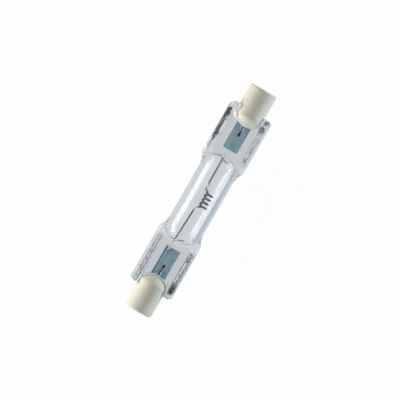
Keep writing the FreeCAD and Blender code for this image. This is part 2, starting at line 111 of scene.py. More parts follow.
def evenly(points, step):
    """The same path with its points an even step apart."""
    points = np.array(points)
    runs = np.linalg.norm(np.diff(points, axis=0), axis=1)
    along = np.concatenate([[0.0], np.cumsum(runs)])
    places = np.linspace(0.0, along[-1], max(2, int(along[-1] / step)))
    return np.stack([np.interp(places, along, points[:, axis]) for axis in range(3)], axis=1)


def rounded(points, steps=14):
    """A smooth line through the points."""
    points = [np.array(p) for p in points]
    points = [2 * points[0] - points[1]] + points + [2 * points[-1] - points[-2]]
    line = []
    for before, a, b, after in zip(points, points[1:], points[2:], points[3:]):
        for t in np.linspace(0.0, 1.0, steps, endpoint=False):
            bend = 2 * before - 5 * a + 4 * b - after
            twist = 3 * a - before - 3 * b + after
            line.append(0.5 * (2 * a + (b - before) * t + bend * t * t + twist * t**3))
    return line + [points[-2]]


turn = np.linspace(0.0, LARGE_TURNS * 2 * math.pi, COIL_POINTS)
advance = turn + TURN_ADVANCE[0] * np.sin(turn) + TURN_ADVANCE[1] * np.sin(2 * turn)
coil_x = COIL_LEFT_END + LARGE_PITCH * advance / (2 * math.pi)
coil_y = COIL_DROP + LARGE_RADIUS * np.cos(turn)
coil = np.stack([coil_x, coil_y, LARGE_RADIUS * np.sin(turn)], axis=1)
before_coil = rounded(list(LEFT_LEG) + [coil[0]])[:-1]
after_coil = rounded([coil[-1]] + list(RIGHT_LEG))[1:]
path = evenly(np.array(before_coil + list(coil) + after_coil), PATH_STEP)
wound = np.clip((path[:, 0] - WOUND_FROM) / UNWINDS_OVER[0], 0.0, 1.0)
wound = wound * np.clip((WOUND_TO - path[:, 0]) / UNWINDS_OVER[1], 0.0, 1.0)
path_mesh = bpy.data.meshes.new("filament_path")
path_mesh.from_pydata([tuple(p) for p in path], [(i, i + 1) for i in range(len(path) - 1)], [])
attribute = path_mesh.attributes.new("wound", "FLOAT", "POINT")
attribute.data.foreach_set("value", wound.astype(np.float32))
path_object = put("filament_path", path_mesh)

# Drawn tungsten is a dark, slightly brown grey with a soft metal shine, which recrystallising in the
# heat has left grainy.
tungsten, tree = new_material("drawn_tungsten")
grain = add(tree, "ShaderNodeTexNoise", {
    "Vector": add(tree, "ShaderNodeTexCoord").outputs["Object"], "Scale": GRAINS, "Detail": 2.0,
})
tone = add(tree, "ShaderNodeMix", {
    "Factor": grain, "A": srgb("#2f2f2e"), "B": srgb("#6a6a66"),
}, data_type="RGBA")
shader = add(tree, "ShaderNodeBsdfPrincipled", {"Base Color": tone, "Metallic": 0.9, "Roughness": 0.5})
add(tree, "ShaderNodeOutputMaterial", {"Surface": shader})

tree = bpy.data.node_groups.new("wire_wound_along_a_path", "GeometryNodeTree")
tree.interface.new_socket("Path", in_out="INPUT", socket_type="NodeSocketGeometry")
for name in ("Wire diameter", "Winding radius", "Winding pitch"):
    tree.interface.new_socket(name, in_out="INPUT", socket_type="NodeSocketFloat")
tree.interface.new_socket("Finish", in_out="INPUT", socket_type="NodeSocketMaterial")
tree.interface.new_socket("Wire", in_out="OUTPUT", socket_type="NodeSocketGeometry")
given = add(tree, "NodeGroupInput")
line = add(tree, "GeometryNodeMeshToCurve", {"Mesh": given.outputs["Path"]})
along = add(tree, "GeometryNodeSplineParameter")
turns = add(tree, "ShaderNodeMath", {
    0: along.outputs["Length"], 1: given.outputs["Winding pitch"],
}, operation="DIVIDE")
angle = add(tree, "ShaderNodeMath", {0: turns, 1: 2 * math.pi}, operation="MULTIPLY")
share = add(tree, "GeometryNodeInputNamedAttribute", {"Name": "wound"}, data_type="FLOAT")
reach = add(
    tree, "ShaderNodeMath", {0: share, 1: given.outputs["Winding radius"]}, operation="MULTIPLY"
)
normal = add(tree, "GeometryNodeInputNormal")
tangent = add(tree, "GeometryNodeInputTangent")
side = add(tree, "ShaderNodeVectorMath", {0: tangent, 1: normal}, operation="CROSS_PRODUCT")
parts = []
for direction, way in ((normal, "COSINE"), (side, "SINE")):
    wave = add(tree, "ShaderNodeMath", {0: angle}, operation=way)
    length = add(tree, "ShaderNodeMath", {0: wave, 1: reach}, operation="MULTIPLY")
    parts.append(add(tree, "ShaderNodeVectorMath", {0: direction, "Scale": length}, operation="SCALE"))
offset = add(tree, "ShaderNodeVectorMath", {0: parts[0], 1: parts[1]})
moved = add(tree, "GeometryNodeSetPosition", {"Geometry": line, "Offset": offset})
radius = add(tree, "ShaderNodeMath", {0: given.outputs["Wire diameter"], 1: 0.5}, operation="MULTIPLY")
section = add(tree, "GeometryNodeCurvePrimitiveCircle", {"Resolution": 8, "Radius": radius})
tube = add(
    tree, "GeometryNodeCurveToMesh", {"Curve": moved, "Profile Curve": section, "Fill Caps": True}
)
smooth = add(tree, "GeometryNodeSetShadeSmooth", {"Geometry": tube})
real = add(tree, "GeometryNodeRealizeInstances", {"Geometry": smooth})
coated = add(tree, "GeometryNodeSetMaterial", {"Geometry": real, "Material": given.outputs["Finish"]})
add(tree, "NodeGroupOutput", {"Wire": coated})


def made_by_nodes(source, tree, sizes):
    """Runs a tree on an object and returns the plain mesh that comes out."""
    modifier = source.modifiers.new("nodes", "NODES")
    modifier.node_group = tree
    for item in tree.interface.items_tree:
        if item.in_out == "INPUT" and item.name in sizes:
            modifier[item.identifier] = sizes[item.name]
    bpy.context.view_layer.update()
    evaluated = source.evaluated_get(bpy.context.evaluated_depsgraph_get())
    mesh = bpy.data.meshes.new_from_object(evaluated)
    source.modifiers.remove(modifier)
    bpy.data.objects.remove(source)
    return mesh


wire = made_by_nodes(path_object, tree, {
    "Wire diameter": FILAMENT_WIRE, "Winding radius": FINE_RADIUS, "Winding pitch": FINE_PITCH,
    "Finish": tungsten,
})
keep("coiled_filament", wire, "filament_metal", "filament")


# The inner leads: drawn tungsten rods that carry the filament, each welded to its foil. In the gas
# the rod has darkened, where the glass closed on it a painted highlight makes the rod nearly white,
# and on the foil it is as dull as the foil.

SIDES = {"left": -1, "right": 1}
ROD_IN_GLASS = (14.0 * MM, 15.4 * MM)  # from the bulb's middle, where the glass closes on the rod
ROD_ON_FOIL = (17.6 * MM, 17.9 * MM)
ROD_LINES = (0.4 / MM, 6 / MM, 6 / MM)  # to the metre: 2.5 mm long and a sixth of a millimetre wide

# Drawn tungsten rod is dull, with fine lines along it from the die, and a painted highlight where the
# glass closes on it.
lead_rod, tree = new_material("drawn_tungsten_rod")
where = add(tree, "ShaderNodeTexCoord").outputs["Object"]
streaks = add(tree, "ShaderNodeMapping", {"Vector": where, "Scale": ROD_LINES})
grain = add(tree, "ShaderNodeTexNoise", {"Vector": streaks, "Scale": 1.0, "Detail": 3.0})
apart = add(tree, "ShaderNodeSeparateXYZ", {"Vector": where})
away = add(tree, "ShaderNodeMath", {0: apart.outputs["X"]}, operation="ABSOLUTE")
in_glass = add(tree, "ShaderNodeMapRange", {
    "Value": away, "From Min": ROD_IN_GLASS[0], "From Max": ROD_IN_GLASS[1],
})
on_foil = add(
    tree, "ShaderNodeMapRange", {"Value": away, "From Min": ROD_ON_FOIL[0], "From Max": ROD_ON_FOIL[1]}
)
dark = add(tree, "ShaderNodeMix", {
    "Factor": grain, "A": srgb("#1b1c1e"), "B": srgb("#46494b"),
}, data_type="RGBA")
# Painted highlight: nearly white where the glass closes on the rod, then the foil's colour on the foil.
pale = add(tree, "ShaderNodeMix", {
    "Factor": on_foil, "A": srgb("#f8f5f3"), "B": srgb("#9cbcc3"),
}, data_type="RGBA")
tone = add(tree, "ShaderNodeMix", {"Factor": in_glass, "A": dark, "B": pale}, data_type="RGBA")
shader = add(tree, "ShaderNodeBsdfPrincipled", {"Base Color": tone, "Metallic": 0.2, "Roughness": 0.6})
add(tree, "ShaderNodeOutputMaterial", {"Surface": shader})


def dress(name, material):
    """Gives a solid that is shown as it is a better finish."""
    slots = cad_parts[name].data.materials
    if len(slots):
        for place in range(len(slots)):
            slots[place] = material
    else:
        slots.append(material)


for side in SIDES:
    dress(f"inner_lead_{side}", lead_rod)


# The seal foils: strips of molybdenum a few hundredths thick, etched to feather edges, which seal
# to the quartz. Each is creased along one edge, dented where the leads are welded on, and slightly
# wavy. They show teal grey through the glass.

FOIL_SPAN = {"left": (16.95 * MM, 29.35 * MM), "right": (17.8 * MM, 29.4 * MM)}
FOIL_MIDDLE = {"left": -0.1 * MM, "right": 0.0}
FOIL_HALF_WIDTH = 2.45 * MM
FOIL_TOP = -0.2 * MM
FOIL_THICK = 0.05 * MM
FOIL_FEATHER = 0.6 * MM
CREASE_AT = {"left": 1.78 * MM, "right": 1.95 * MM}
CREASE_DEPTH = {"left": 0.34 * MM, "right": 0.1 * MM}
CREASE_WIDTH = 0.2 * MM
CREASE_SWING = 0.12 * MM
CREASE_SWING_LENGTH = 1.9 * MM
FOIL_WAVE = 2.6 * MM
FOIL_WAVE_HEIGHT = 0.02 * MM
FOIL_RIPPLE = 0.7 * MM
FOIL_RIPPLE_HEIGHT = 0.008 * MM
FOIL_PITS = 1.5 / MM  # to the metre, coarser than the real ones, so that they show
FOIL_STREAKS = (0.11 / MM, 0.9 / MM, 0.9 / MM)  # to the metre: 9 mm long and 1.1 mm wide


def uneven(points, size, seed):
    """A soft random number from -1 to 1 for each point, which changes over about that size."""
    shift = Vector((7.3 * seed, 3.1 * seed, 1.7 * seed))
    return np.array([noise.noise(Vector(p) / size + shift) for p in points])


def write_closed(form, mesh, hollow=False):
    """Writes a closed form to its mesh with the faces outwards, or inwards where it is a hollow."""
    bmesh.ops.recalc_face_normals(form, faces=form.faces)
    if (form.calc_volume(signed=True) < 0) != hollow:
        bmesh.ops.reverse_faces(form, faces=form.faces)
    form.to_mesh(mesh)
    form.free()


def closed_sheet(name, x, y, top, bottom):
    """A thin closed sheet from a grid of points and the heights of its two faces."""
    rows, columns = x.shape
    upper = np.stack([x, y, top], axis=2).reshape(-1, 3)
    lower = np.stack([x, y, bottom], axis=2).reshape(-1, 3)
    under = rows * columns
    faces = []
    for row in range(rows - 1):
        for column in range(columns - 1):
            a = row * columns + column
            b, c, d = a + columns, a + columns + 1, a + 1
            faces.append((a, b, c, d))
            faces.append((a + under, d + under, c + under, b + under))
    rim = list(range(columns))
    rim += [row * columns + columns - 1 for row in range(1, rows)]
    rim += [(rows - 1) * columns + column for column in range(columns - 2, -1, -1)]
    rim += [row * columns for row in range(rows - 2, 0, -1)]
    for a, b in zip(rim, rim[1:] + rim[:1]):
        faces.append((a, b, b + under, a + under))
    mesh = bpy.data.meshes.new(name)
    mesh.from_pydata(np.concatenate([upper, lower]).tolist(), [], faces)
    form = bmesh.new()
    form.from_mesh(mesh)
    write_closed(form, mesh)
    mesh.shade_smooth()
    return mesh


# Etched molybdenum is matt and finely pitted, a blue-green grey here, with rubbed, brighter streaks
# along the strip from rolling.
foil_metal, tree = new_material("etched_molybdenum")
where = add(tree, "ShaderNodeTexCoord").outputs["Object"]
pits = add(tree, "ShaderNodeTexNoise", {"Vector": where, "Scale": FOIL_PITS, "Detail": 3.0})
rolled = add(tree, "ShaderNodeMapping", {"Vector": where, "Scale": FOIL_STREAKS})
streaks = add(tree, "ShaderNodeTexNoise", {"Vector": rolled, "Scale": 1.0, "Detail": 3.0})
both = add(tree, "ShaderNodeMath", {0: pits, 1: streaks}, operation="ADD")
spread = add(tree, "ShaderNodeMapRange", {"Value": both, "From Min": 0.75, "From Max": 1.25})
tone = add(tree, "ShaderNodeMix", {
    "Factor": spread, "A": srgb("#89a9b0"), "B": srgb("#afc7cb"),
}, data_type="RGBA")
bump = add(tree, "ShaderNodeBump", {"Height": pits, "Strength": 0.4, "Distance": 0.03 * MM})
shader = add(tree, "ShaderNodeBsdfPrincipled", {
    "Base Color": tone, "Metallic": 0.3, "Roughness": 0.5, "Normal": bump,
})
add(tree, "ShaderNodeOutputMaterial", {"Surface": shader})

for side, way in SIDES.items():
    along = np.linspace(0.0, 1.0, 121)
    across = np.linspace(-1.0, 1.0, 61)
    start, end = FOIL_SPAN[side]
    x, y = np.meshgrid(start + (end - start) * along, FOIL_HALF_WIDTH * across, indexing="ij")
    x = x * way
    flat = np.stack([x.ravel(), y.ravel(), 0 * x.ravel()], axis=1)
    waves = uneven(flat, FOIL_WAVE, 1 + way).reshape(x.shape)
    ripples = uneven(flat * (0.4, 1.0, 1.0), FOIL_RIPPLE, 4 + way).reshape(x.shape)
    crease_y = CREASE_AT[side] + CREASE_SWING * np.sin(x / CREASE_SWING_LENGTH)
    crease = np.exp(-(((y - crease_y) / CREASE_WIDTH) ** 2)) * (0.65 + 0.6 * waves)
    middle = FOIL_TOP - FOIL_THICK / 2 + FOIL_WAVE_HEIGHT * (waves - 1.0) + FOIL_RIPPLE_HEIGHT * ripples
    middle -= CREASE_DEPTH[side] * np.clip(crease, 0.0, 1.0)
    edge = np.clip((FOIL_HALF_WIDTH - np.abs(y)) / FOIL_FEATHER, 0.12, 1.0)
    half = FOIL_THICK / 2 * edge
    y = y + FOIL_MIDDLE[side]
    mesh = closed_sheet(f"foil_{side}", x, y, middle + half, middle - half)
    mesh.materials.append(foil_metal)
    keep(f"molybdenum_foil_{side}", mesh, "foil_metal", f"seal_foil_{side}")


# The outer leads: drawn molybdenum wires from the foils to the contacts. Each ends on its foil in
# a flattened bead, where it was spot welded.

BEAD_RADIUS = 0.36 * MM
BEAD_FLATNESS = 0.6
BEAD_SINK = 0.02 * MM
BEAD_LUMP = 0.3 * MM
BEADS = ((23.35, -0.16, 2.0), (24.6, -0.05, 1.4))  # along and across in millimetres, and the stretch
WIRE_LINES = (0.3 / MM, 5 / MM, 5 / MM)  # to the metre: 3.3 mm long and a fifth of a millimetre wide

# Drawn molybdenum wire is dark grey and dull, with fine lines along it from the die.
lead_wire, tree = new_material("drawn_molybdenum")
streaks = add(tree, "ShaderNodeMapping", {
    "Vector": add(tree, "ShaderNodeTexCoord").outputs["Object"], "Scale": WIRE_LINES,
})
grain = add(tree, "ShaderNodeTexNoise", {"Vector": streaks, "Scale": 1.0, "Detail": 3.0})
tone = add(tree, "ShaderNodeMix", {
    "Factor": grain, "A": srgb("#1d2021"), "B": srgb("#454a4c"),
}, data_type="RGBA")
shader = add(tree, "ShaderNodeBsdfPrincipled", {"Base Color": tone, "Metallic": 0.4, "Roughness": 0.65})
add(tree, "ShaderNodeOutputMaterial", {"Surface": shader})
for side in SIDES:
    dress(f"outer_lead_{side}", lead_wire)

beads = bmesh.new()
for way in SIDES.values():
    for x, y, longer in BEADS:
        made = bmesh.ops.create_icosphere(beads, subdivisions=3, radius=BEAD_RADIUS)
        for vertex in made["verts"]:
            flat = vertex.co * (1 + 0.25 * noise.noise(vertex.co / BEAD_LUMP + Vector((x, way, 0))))
            vertex.co = Vector((flat.x * longer, flat.y, flat.z * BEAD_FLATNESS))
            vertex.co += Vector((x * MM * way, y * MM, -BEAD_SINK))
mesh = bpy.data.meshes.new("beads")
beads.to_mesh(mesh)
beads.free()
mesh.shade_smooth()
mesh.materials.append(lead_wire)
keep("weld_beads", mesh, "lead_metal")


# The quartz envelope: one piece of clear fused quartz tube. Both ends were heated and squeezed flat
# between jaws, which left a thin web between two thicker rails and a soft shoulder at the tube. The
# squeeze also left closed folds in the rails and a thin gap along each side of the outer leads.

TUBE_RADIUS = 5.9 * MM
TUBE_END = 10.5 * MM
SHOULDER_ROUND = 2.9 * MM
SHOULDER_ANGLE = math.radians(65.0)
FOOT_ROUND = 1.5 * MM
FOOT_RADIUS = 1.43 * MM
WEB = 1.5 * MM
RAIL = 2.1 * MM
RAIL_WIDTH = 2.1 * MM
RAIL_SLOPE = 0.6 * MM
RAIL_ROUND = 1.3 * MM
PINCH_HALF_WIDTH = 7.2 * MM
PINCH_START = 12.7 * MM
FLARE_LENGTH = 2.6 * MM
FLARE_INSET = 0.18 * MM
GLASS_END = 31.4 * MM
RIGHT_SHIFT = 0.9 * MM  # the right shoulder was squeezed a little further out
SHIFT_RISES = (5.0 * MM, 10.0 * MM)
SHIFT_FADES = (17.0 * MM, 26.0 * MM)
BORE = 4.4 * MM
BORE_END = 11.0 * MM
BORE_TAIL = 3.6 * MM
FLANK = 0.6  # a shoulder's skin is nearer to a point than its radius says
BLEND = 0.35  # millimetres of rounding where the tube meets the pinch
BLEND_AT_RAILS = 0.75
SEARCH_STEPS = 60
HALVINGS = 22
CHIP = 1.5 * MM
CHIP_DEPTH = 0.22 * MM
END_WEAR = 0.12 * MM
END_CORNER = 0.45 * MM
DENT = 2.2 * MM
EDGE_DENT_DEPTH = 0.12 * MM
FACE_DENT_DEPTH = 0.06 * MM
FOLD_STEP = 0.16 * MM
FOLD_SPOKES = 22
FOLD_WANDER_LENGTH = 0.9 * MM
FOLD_WANDER = (0.18 * MM, 0.12 * MM)  # across and up
FOLD_SWELL = 0.7
FOLD_GRAIN = 0.45 * MM
FOLD_ROUGHNESS = 0.1 * MM
FOLD_REACH = 6.9 * MM  # across, so that a fold stays inside its rail
SKIN_RIPPLES = 0.9 / MM  # to the metre, so each is 1.1 mm across
PINCHED = (13.0 * MM, 16.0 * MM)  # from the bulb's middle, where the jaws' dents and the milky tint start
CHILLED = (9.5 * MM, 11.0 * MM)
CHILLED_ROUGHNESS = 0.14
# Painted glow: after a ray has met more surfaces than this, the glass glows pale, this bright.
PAINTED_GLOW_FROM = 3.5  # surfaces that the light has met
PAINTED_GLOW = 0.2


def smooth_step(x, low, high):
    t = np.clip((x - low) / (high - low), 0.0, 1.0)
    return t * t * (3 - 2 * t)


def soft_least(a, b, round_off):
    """The lesser of two distances, with the corner between them rounded."""
    h = np.clip(0.5 + 0.5 * (b - a) / round_off, 0.0, 1.0)
    return b * (1 - h) + a * h - round_off * h * (1 - h)


over_x = TUBE_END + SHOULDER_ROUND * math.sin(SHOULDER_ANGLE)
over_r = TUBE_RADIUS - SHOULDER_ROUND + SHOULDER_ROUND * math.cos(SHOULDER_ANGLE)
foot_r = FOOT_RADIUS + FOOT_ROUND * (1 - math.cos(SHOULDER_ANGLE))
foot_x = over_x + (over_r - foot_r) / math.tan(SHOULDER_ANGLE)
apex_x = foot_x + FOOT_ROUND * math.sin(SHOULDER_ANGLE)


def unshifted(x):
    """The place along an evenly squeezed bulb that a place on this one stands for."""
    right = smooth_step(x, *SHIFT_RISES) * (1 - smooth_step(x, *SHIFT_FADES))
    return np.abs(x - RIGHT_SHIFT * right)


def shoulder_radius(ax):
    """The turned form's radius at a distance from the bulb's middle."""
    over = TUBE_RADIUS - SHOULDER_ROUND + np.sqrt(
        np.maximum(SHOULDER_ROUND**2 - np.maximum(ax - TUBE_END, 0.0) ** 2, 0.0)
    )
    flank = over_r - (ax - over_x) * math.tan(SHOULDER_ANGLE)
    foot = FOOT_RADIUS + FOOT_ROUND - np.sqrt(
        np.maximum(FOOT_ROUND**2 - np.minimum(ax - apex_x, 0.0) ** 2, 0.0)
    )
    radius = np.where(ax <= TUBE_END, TUBE_RADIUS, over)
    radius = np.where(ax > over_x, flank, radius)
    radius = np.where(ax > foot_x, foot, radius)
    return np.where(ax > apex_x, FOOT_RADIUS - (ax - apex_x), radius)


def outside(x, y, z):
    """Roughly the distance from the outer skin, less than nothing inside the glass."""
    ax, ay, az = unshifted(x), np.abs(y), np.abs(z)
    turned = (np.hypot(y, z) - shoulder_radius(ax)) * FLANK
    flare = smooth_step(ax, PINCH_START - FLARE_LENGTH, PINCH_START)
    slim = TUBE_RADIUS - FLARE_INSET
    half = slim + (PINCH_HALF_WIDTH - slim) * flare
    slope = smooth_step(ay, half - RAIL_WIDTH, half - RAIL_WIDTH + RAIL_SLOPE)
    thick = WEB + (RAIL - WEB) * slope
    dy = np.maximum(ay - (half - RAIL_ROUND), 0.0)
    dz = np.maximum(az - (thick - RAIL_ROUND), 0.0)
    plate = np.hypot(dy, dz) - RAIL_ROUND
    plate = np.maximum(plate, (PINCH_START - FLARE_LENGTH) - ax)
    corner = smooth_step(ay, 3.5 * MM, 6.0 * MM)
    skin = soft_least(turned, plate, (BLEND + BLEND_AT_RAILS * corner) * MM)
    return np.maximum(skin, np.abs(x) - GLASS_END)


def lines_outwards(flat_steps, fan_steps):
    """Lines across a section: square to its flat middle, and in a fan round either end of it. Each
    has a start, as a share of the middle's half width, and a way out."""
    flat = np.linspace(-1.0, 1.0, flat_steps)
    fan = np.linspace(0.0, math.pi, fan_steps + 2)[1:-1]
    ones = np.ones(flat_steps)
    starts = np.concatenate([-flat, -np.ones(fan_steps), flat, np.ones(fan_steps)])
    ways_y = np.concatenate([0 * ones, -np.sin(fan), 0 * ones, np.sin(fan)])
    ways_z = np.concatenate([ones, np.cos(fan), -ones, -np.cos(fan)])
    return starts, ways_y, ways_z


def points_on_skin(field, x, lines, half_middle, far):
    """For every section and line, the outermost place where the field changes sign."""
    starts, ways_y, ways_z = lines
    base_y = half_middle(x)[:, None] * starts[None, :]
    across = x[:, None] + 0 * base_y
    dirs_y = ways_y[None, :] + 0 * base_y
    dirs_z = ways_z[None, :] + 0 * base_y
    low = np.zeros_like(base_y)
    high = np.full_like(base_y, far)
    for distance in np.linspace(far, 0.0, SEARCH_STEPS):
        value = field(across, base_y + dirs_y * distance, dirs_z * distance)
        inside = value < 0
        low = np.where(inside & (low == 0.0), distance, low)
        high = np.where(inside | (low > 0), high, distance)
    for _ in range(HALVINGS):
        middle = (low + high) / 2
        inside = field(across, base_y + dirs_y * middle, dirs_z * middle) < 0
        low = np.where(inside, middle, low)
        high = np.where(inside, high, middle)
    return across, base_y + dirs_y * low, dirs_z * low


def ring_mesh(name, x, y, z, hollow=False):
    """Joins rings of points into a skin and closes both ends. A hollow's faces look into it."""
    rings, count = x.shape
    vertices = np.stack([x, y, z], axis=2).reshape(-1, 3)
    faces = []
    for ring in range(rings - 1):
        a = ring * count + np.arange(count)
        b = ring * count + (np.arange(count) + 1) % count
        faces.append(np.stack([a, b, b + count, a + count], axis=1))
    mesh = bpy.data.meshes.new(name)
    mesh.from_pydata(vertices.tolist(), [], np.concatenate(faces).tolist())
    form = bmesh.new()
    form.from_mesh(mesh)
    bmesh.ops.remove_doubles(form, verts=form.verts, dist=0.002 * MM)
    open_edges = [edge for edge in form.edges if edge.is_boundary]
    if open_edges:
        bmesh.ops.holes_fill(form, edges=open_edges, sides=0)
    write_closed(form, mesh, hollow)
    return mesh


def half_of_flat_middle(x):
    """How far the flat middle of a section reaches to either side."""
    return (3.4 + 2.2 * smooth_step(np.abs(x), 8.0 * MM, 12.6 * MM)) * MM


# The sections along half the bulb lie closest in the shoulder.
half_sections = np.concatenate([
    np.linspace(0.0, 9.0, 10, endpoint=False),
    np.linspace(9.0, 17.0, 66, endpoint=False),
    np.linspace(17.0, 31.38, 56),
]) * MM
sections = np.concatenate([-half_sections[:0:-1], half_sections])
lines = lines_outwards(70, 30)
x, y, z = points_on_skin(outside, sections, lines, half_of_flat_middle, 9 * MM)
for share in (0.6, 0.25, 0.0):  # the pinches' ends: rings that draw in to the middle line
    for at in (0, -1):
        end = 0 if at == 0 else len(x)
        middle_y = half_of_flat_middle(x[at, :1]) * lines[0]
        ring_y = middle_y + (y[at] - middle_y) * share
        y = np.insert(y, end, ring_y, axis=0)
        z = np.insert(z, end, z[at] * share, axis=0)
        x = np.insert(x, end, x[at], axis=0)

# The tube was broken to length before the squeeze, so its ends are uneven and slightly rounded.
spots = np.stack([x, y, 0.4 * z], axis=2).reshape(-1, 3)
uneven_end = uneven(spots * (0.0, 1.0, 1.0) + (np.sign(x).ravel()[:, None] * 0.02), CHIP, 9)
chipped = uneven_end.reshape(x.shape) * CHIP_DEPTH
corner = smooth_step(np.abs(y), 6.0 * MM, PINCH_HALF_WIDTH) * END_CORNER
near_end = smooth_step(np.abs(x), 30.2 * MM, 31.38 * MM)
x = x - np.sign(x) * near_end * np.clip(END_WEAR + chipped + corner, 0.0, 1.0 * MM)
# The jaws pressed the soft glass slightly uneven.
dents = uneven(spots, DENT, 3).reshape(x.shape) * smooth_step(np.abs(x), *PINCHED)
at_edge = smooth_step(np.abs(y), 6.3 * MM, 7.0 * MM)
y = y - np.sign(y) * np.clip(dents, 0.0, 1.0) * EDGE_DENT_DEPTH * at_edge
z = z - np.sign(z) * np.clip(dents + 0.2, 0.0, 1.0) * FACE_DENT_DEPTH
outer_skin = ring_mesh("outer_skin", x, y, z)


def in_gas(x, y, z):
    """Less than nothing in the gas space, which closes to a rounded end in each shoulder."""
    t = np.clip((unshifted(x) - BORE_END) / BORE_TAIL, 0.0, 1.0)
    high = BORE * np.sqrt(np.maximum(1 - t**1.3, 0.0))
    wide = BORE * np.sqrt(np.maximum(1 - t**4, 0.0))
    return np.hypot(y / np.maximum(wide, 1e-6), z / np.maximum(high, 1e-6)) - 1.0


gas_half = np.concatenate([
    np.linspace(0.0, BORE_END, 14, endpoint=False),
    BORE_END + BORE_TAIL * np.sin(np.linspace(0.0, math.pi / 2, 30)),
])
gas_half[-1] -= 0.01 * MM
gas_right = gas_half + RIGHT_SHIFT * smooth_step(gas_half, *SHIFT_RISES)
gas_sections = np.concatenate([-gas_half[:0:-1], gas_right])
gas_lines = lines_outwards(3, 50)
x, y, z = points_on_skin(in_gas, gas_sections, gas_lines, lambda x: 0.02 * MM + 0 * x, 6 * MM)
quartz_shells = [outer_skin, ring_mesh("gas_skin", x, y, z, hollow=True)]


def closed_fold(name, shape, seed, floor=None):
    """A hollow left inside the glass. Each row gives its x, y, z, half width and half height."""
    rows = np.array(shape) * MM
    start, length = rows[0, 0], rows[-1, 0] - rows[0, 0]
    steps = max(12, int(abs(length) / FOLD_STEP))
    x = start + length * (0.5 - 0.5 * np.cos(np.linspace(0, math.pi, steps)))
    order = np.argsort(rows[:, 0])
    given = [np.interp(x, rows[order, 0], rows[order, column]) for column in range(1, 5)]
    middle_line = np.stack([x, 0 * x, 0 * x], axis=1)
    wander = [uneven(middle_line, FOLD_WANDER_LENGTH, seed + number) for number in range(4)]
    y = given[0] + FOLD_WANDER[0] * wander[0]
    z = given[1] + FOLD_WANDER[1] * wander[1]
    wide = np.maximum(given[2] * (1 + FOLD_SWELL * wander[2]), 0.0)
    high = np.maximum(given[3] * (1 + FOLD_SWELL * wander[3]), 0.0)
    round_end = np.sqrt(np.clip(1 - np.linspace(-1, 1, steps) ** 14, 0.0, 1.0))
    spokes = np.linspace(0.0, 2 * math.pi, FOLD_SPOKES, endpoint=False)
    ring_y = y[:, None] + (wide * round_end)[:, None] * np.cos(spokes)
    ring_z = z[:, None] + (high * round_end)[:, None] * np.sin(spokes)
    ring_x = x[:, None] + 0 * ring_y
    spots = np.stack([ring_x, ring_y, ring_z], axis=2).reshape(-1, 3)
    rough = uneven(spots, FOLD_GRAIN, seed + 9).reshape(ring_x.shape) * round_end[:, None]
    ring_y = np.clip(ring_y + rough * FOLD_ROUGHNESS, -FOLD_REACH, FOLD_REACH)
    ring_z = ring_z + rough * FOLD_ROUGHNESS
    if floor is not None:
        ring_z = np.maximum(ring_z, floor)
    return ring_mesh(name, ring_x, ring_y, ring_z, hollow=True)


# x, y, z, half width and half height, in millimetres
FOLDS = {
    "left_top": [(-30.6, 4.75, 0.0, 0.2, 0.2), (-24, 4.8, 0.0, 0.3, 0.3), (-14.6, 4.8, 0.0, 0.2, 0.2)],
    "left_bottom": [(-25.6, -5.5, 0.0, 0.3, 0.3), (-20, -5.45, 0.0, 0.3, 0.3),
                    (-15.4, -5.4, 0.0, 0.2, 0.2)],
    "right_top": [(14.3, 6.7, 0.0, 0.35, 0.3), (19, 6.75, 0.0, 0.3, 0.3), (29.4, 6.2, 0.0, 0.2, 0.2)],
    "right_bottom": [(15.5, -5.2, 0.0, 0.15, 0.15), (28.9, -5.2, 0.0, 0.2, 0.2)],
}
LEAD_GAP = [(23.7, 0, 0.02, 0.3, 0.3), (25.4, 0, 0.05, 0.6, 0.55), (31.0, 0, 0.05, 0.62, 0.6)]
for number, (name, shape) in enumerate(FOLDS.items()):
    quartz_shells.append(closed_fold(name, shape, 20 + 5 * number))
for side, way in SIDES.items():
    gap = [(corner[0] * way,) + corner[1:] for corner in LEAD_GAP]
    quartz_shells.append(closed_fold(f"gap_{side}", gap, 50 + way, floor=-0.19 * MM))

form = bmesh.new()
for shell in quartz_shells:
    form.from_mesh(shell)
envelope_mesh = bpy.data.meshes.new("quartz")
form.to_mesh(envelope_mesh)
form.free()
envelope_mesh.shade_smooth()

# Fused quartz is clear and hard-edged where the tube was drawn. The squeezed ends are slightly
# milky and finely rippled, because the jaws chilled the skin.
quartz, tree = new_material("fused_quartz")
where = add(tree, "ShaderNodeTexCoord").outputs["Object"]
grain = add(tree, "ShaderNodeTexNoise", {"Vector": where, "Scale": SKIN_RIPPLES, "Detail": 3.0})
apart = add(tree, "ShaderNodeSeparateXYZ", {"Vector": where})
away = add(tree, "ShaderNodeMath", {0: apart.outputs["X"]}, operation="ABSOLUTE")
pinched = add(
    tree, "ShaderNodeMapRange", {"Value": away, "From Min": PINCHED[0], "From Max": PINCHED[1]}
)
chilled = add(
    tree, "ShaderNodeMapRange", {"Value": away, "From Min": CHILLED[0], "From Max": CHILLED[1]}
)
tint = add(tree, "ShaderNodeMix", {
    "Factor": pinched, "A": srgb("#f0f1f2"), "B": srgb("#dee0e2"),
}, data_type="RGBA")
rough = add(tree, "ShaderNodeMath", {0: chilled, 1: CHILLED_ROUGHNESS}, operation="MULTIPLY")
strength = add(tree, "ShaderNodeMath", {0: pinched, 1: 0.3}, operation="MULTIPLY")
bump = add(tree, "ShaderNodeBump", {"Height": grain, "Strength": strength, "Distance": 0.1 * MM})
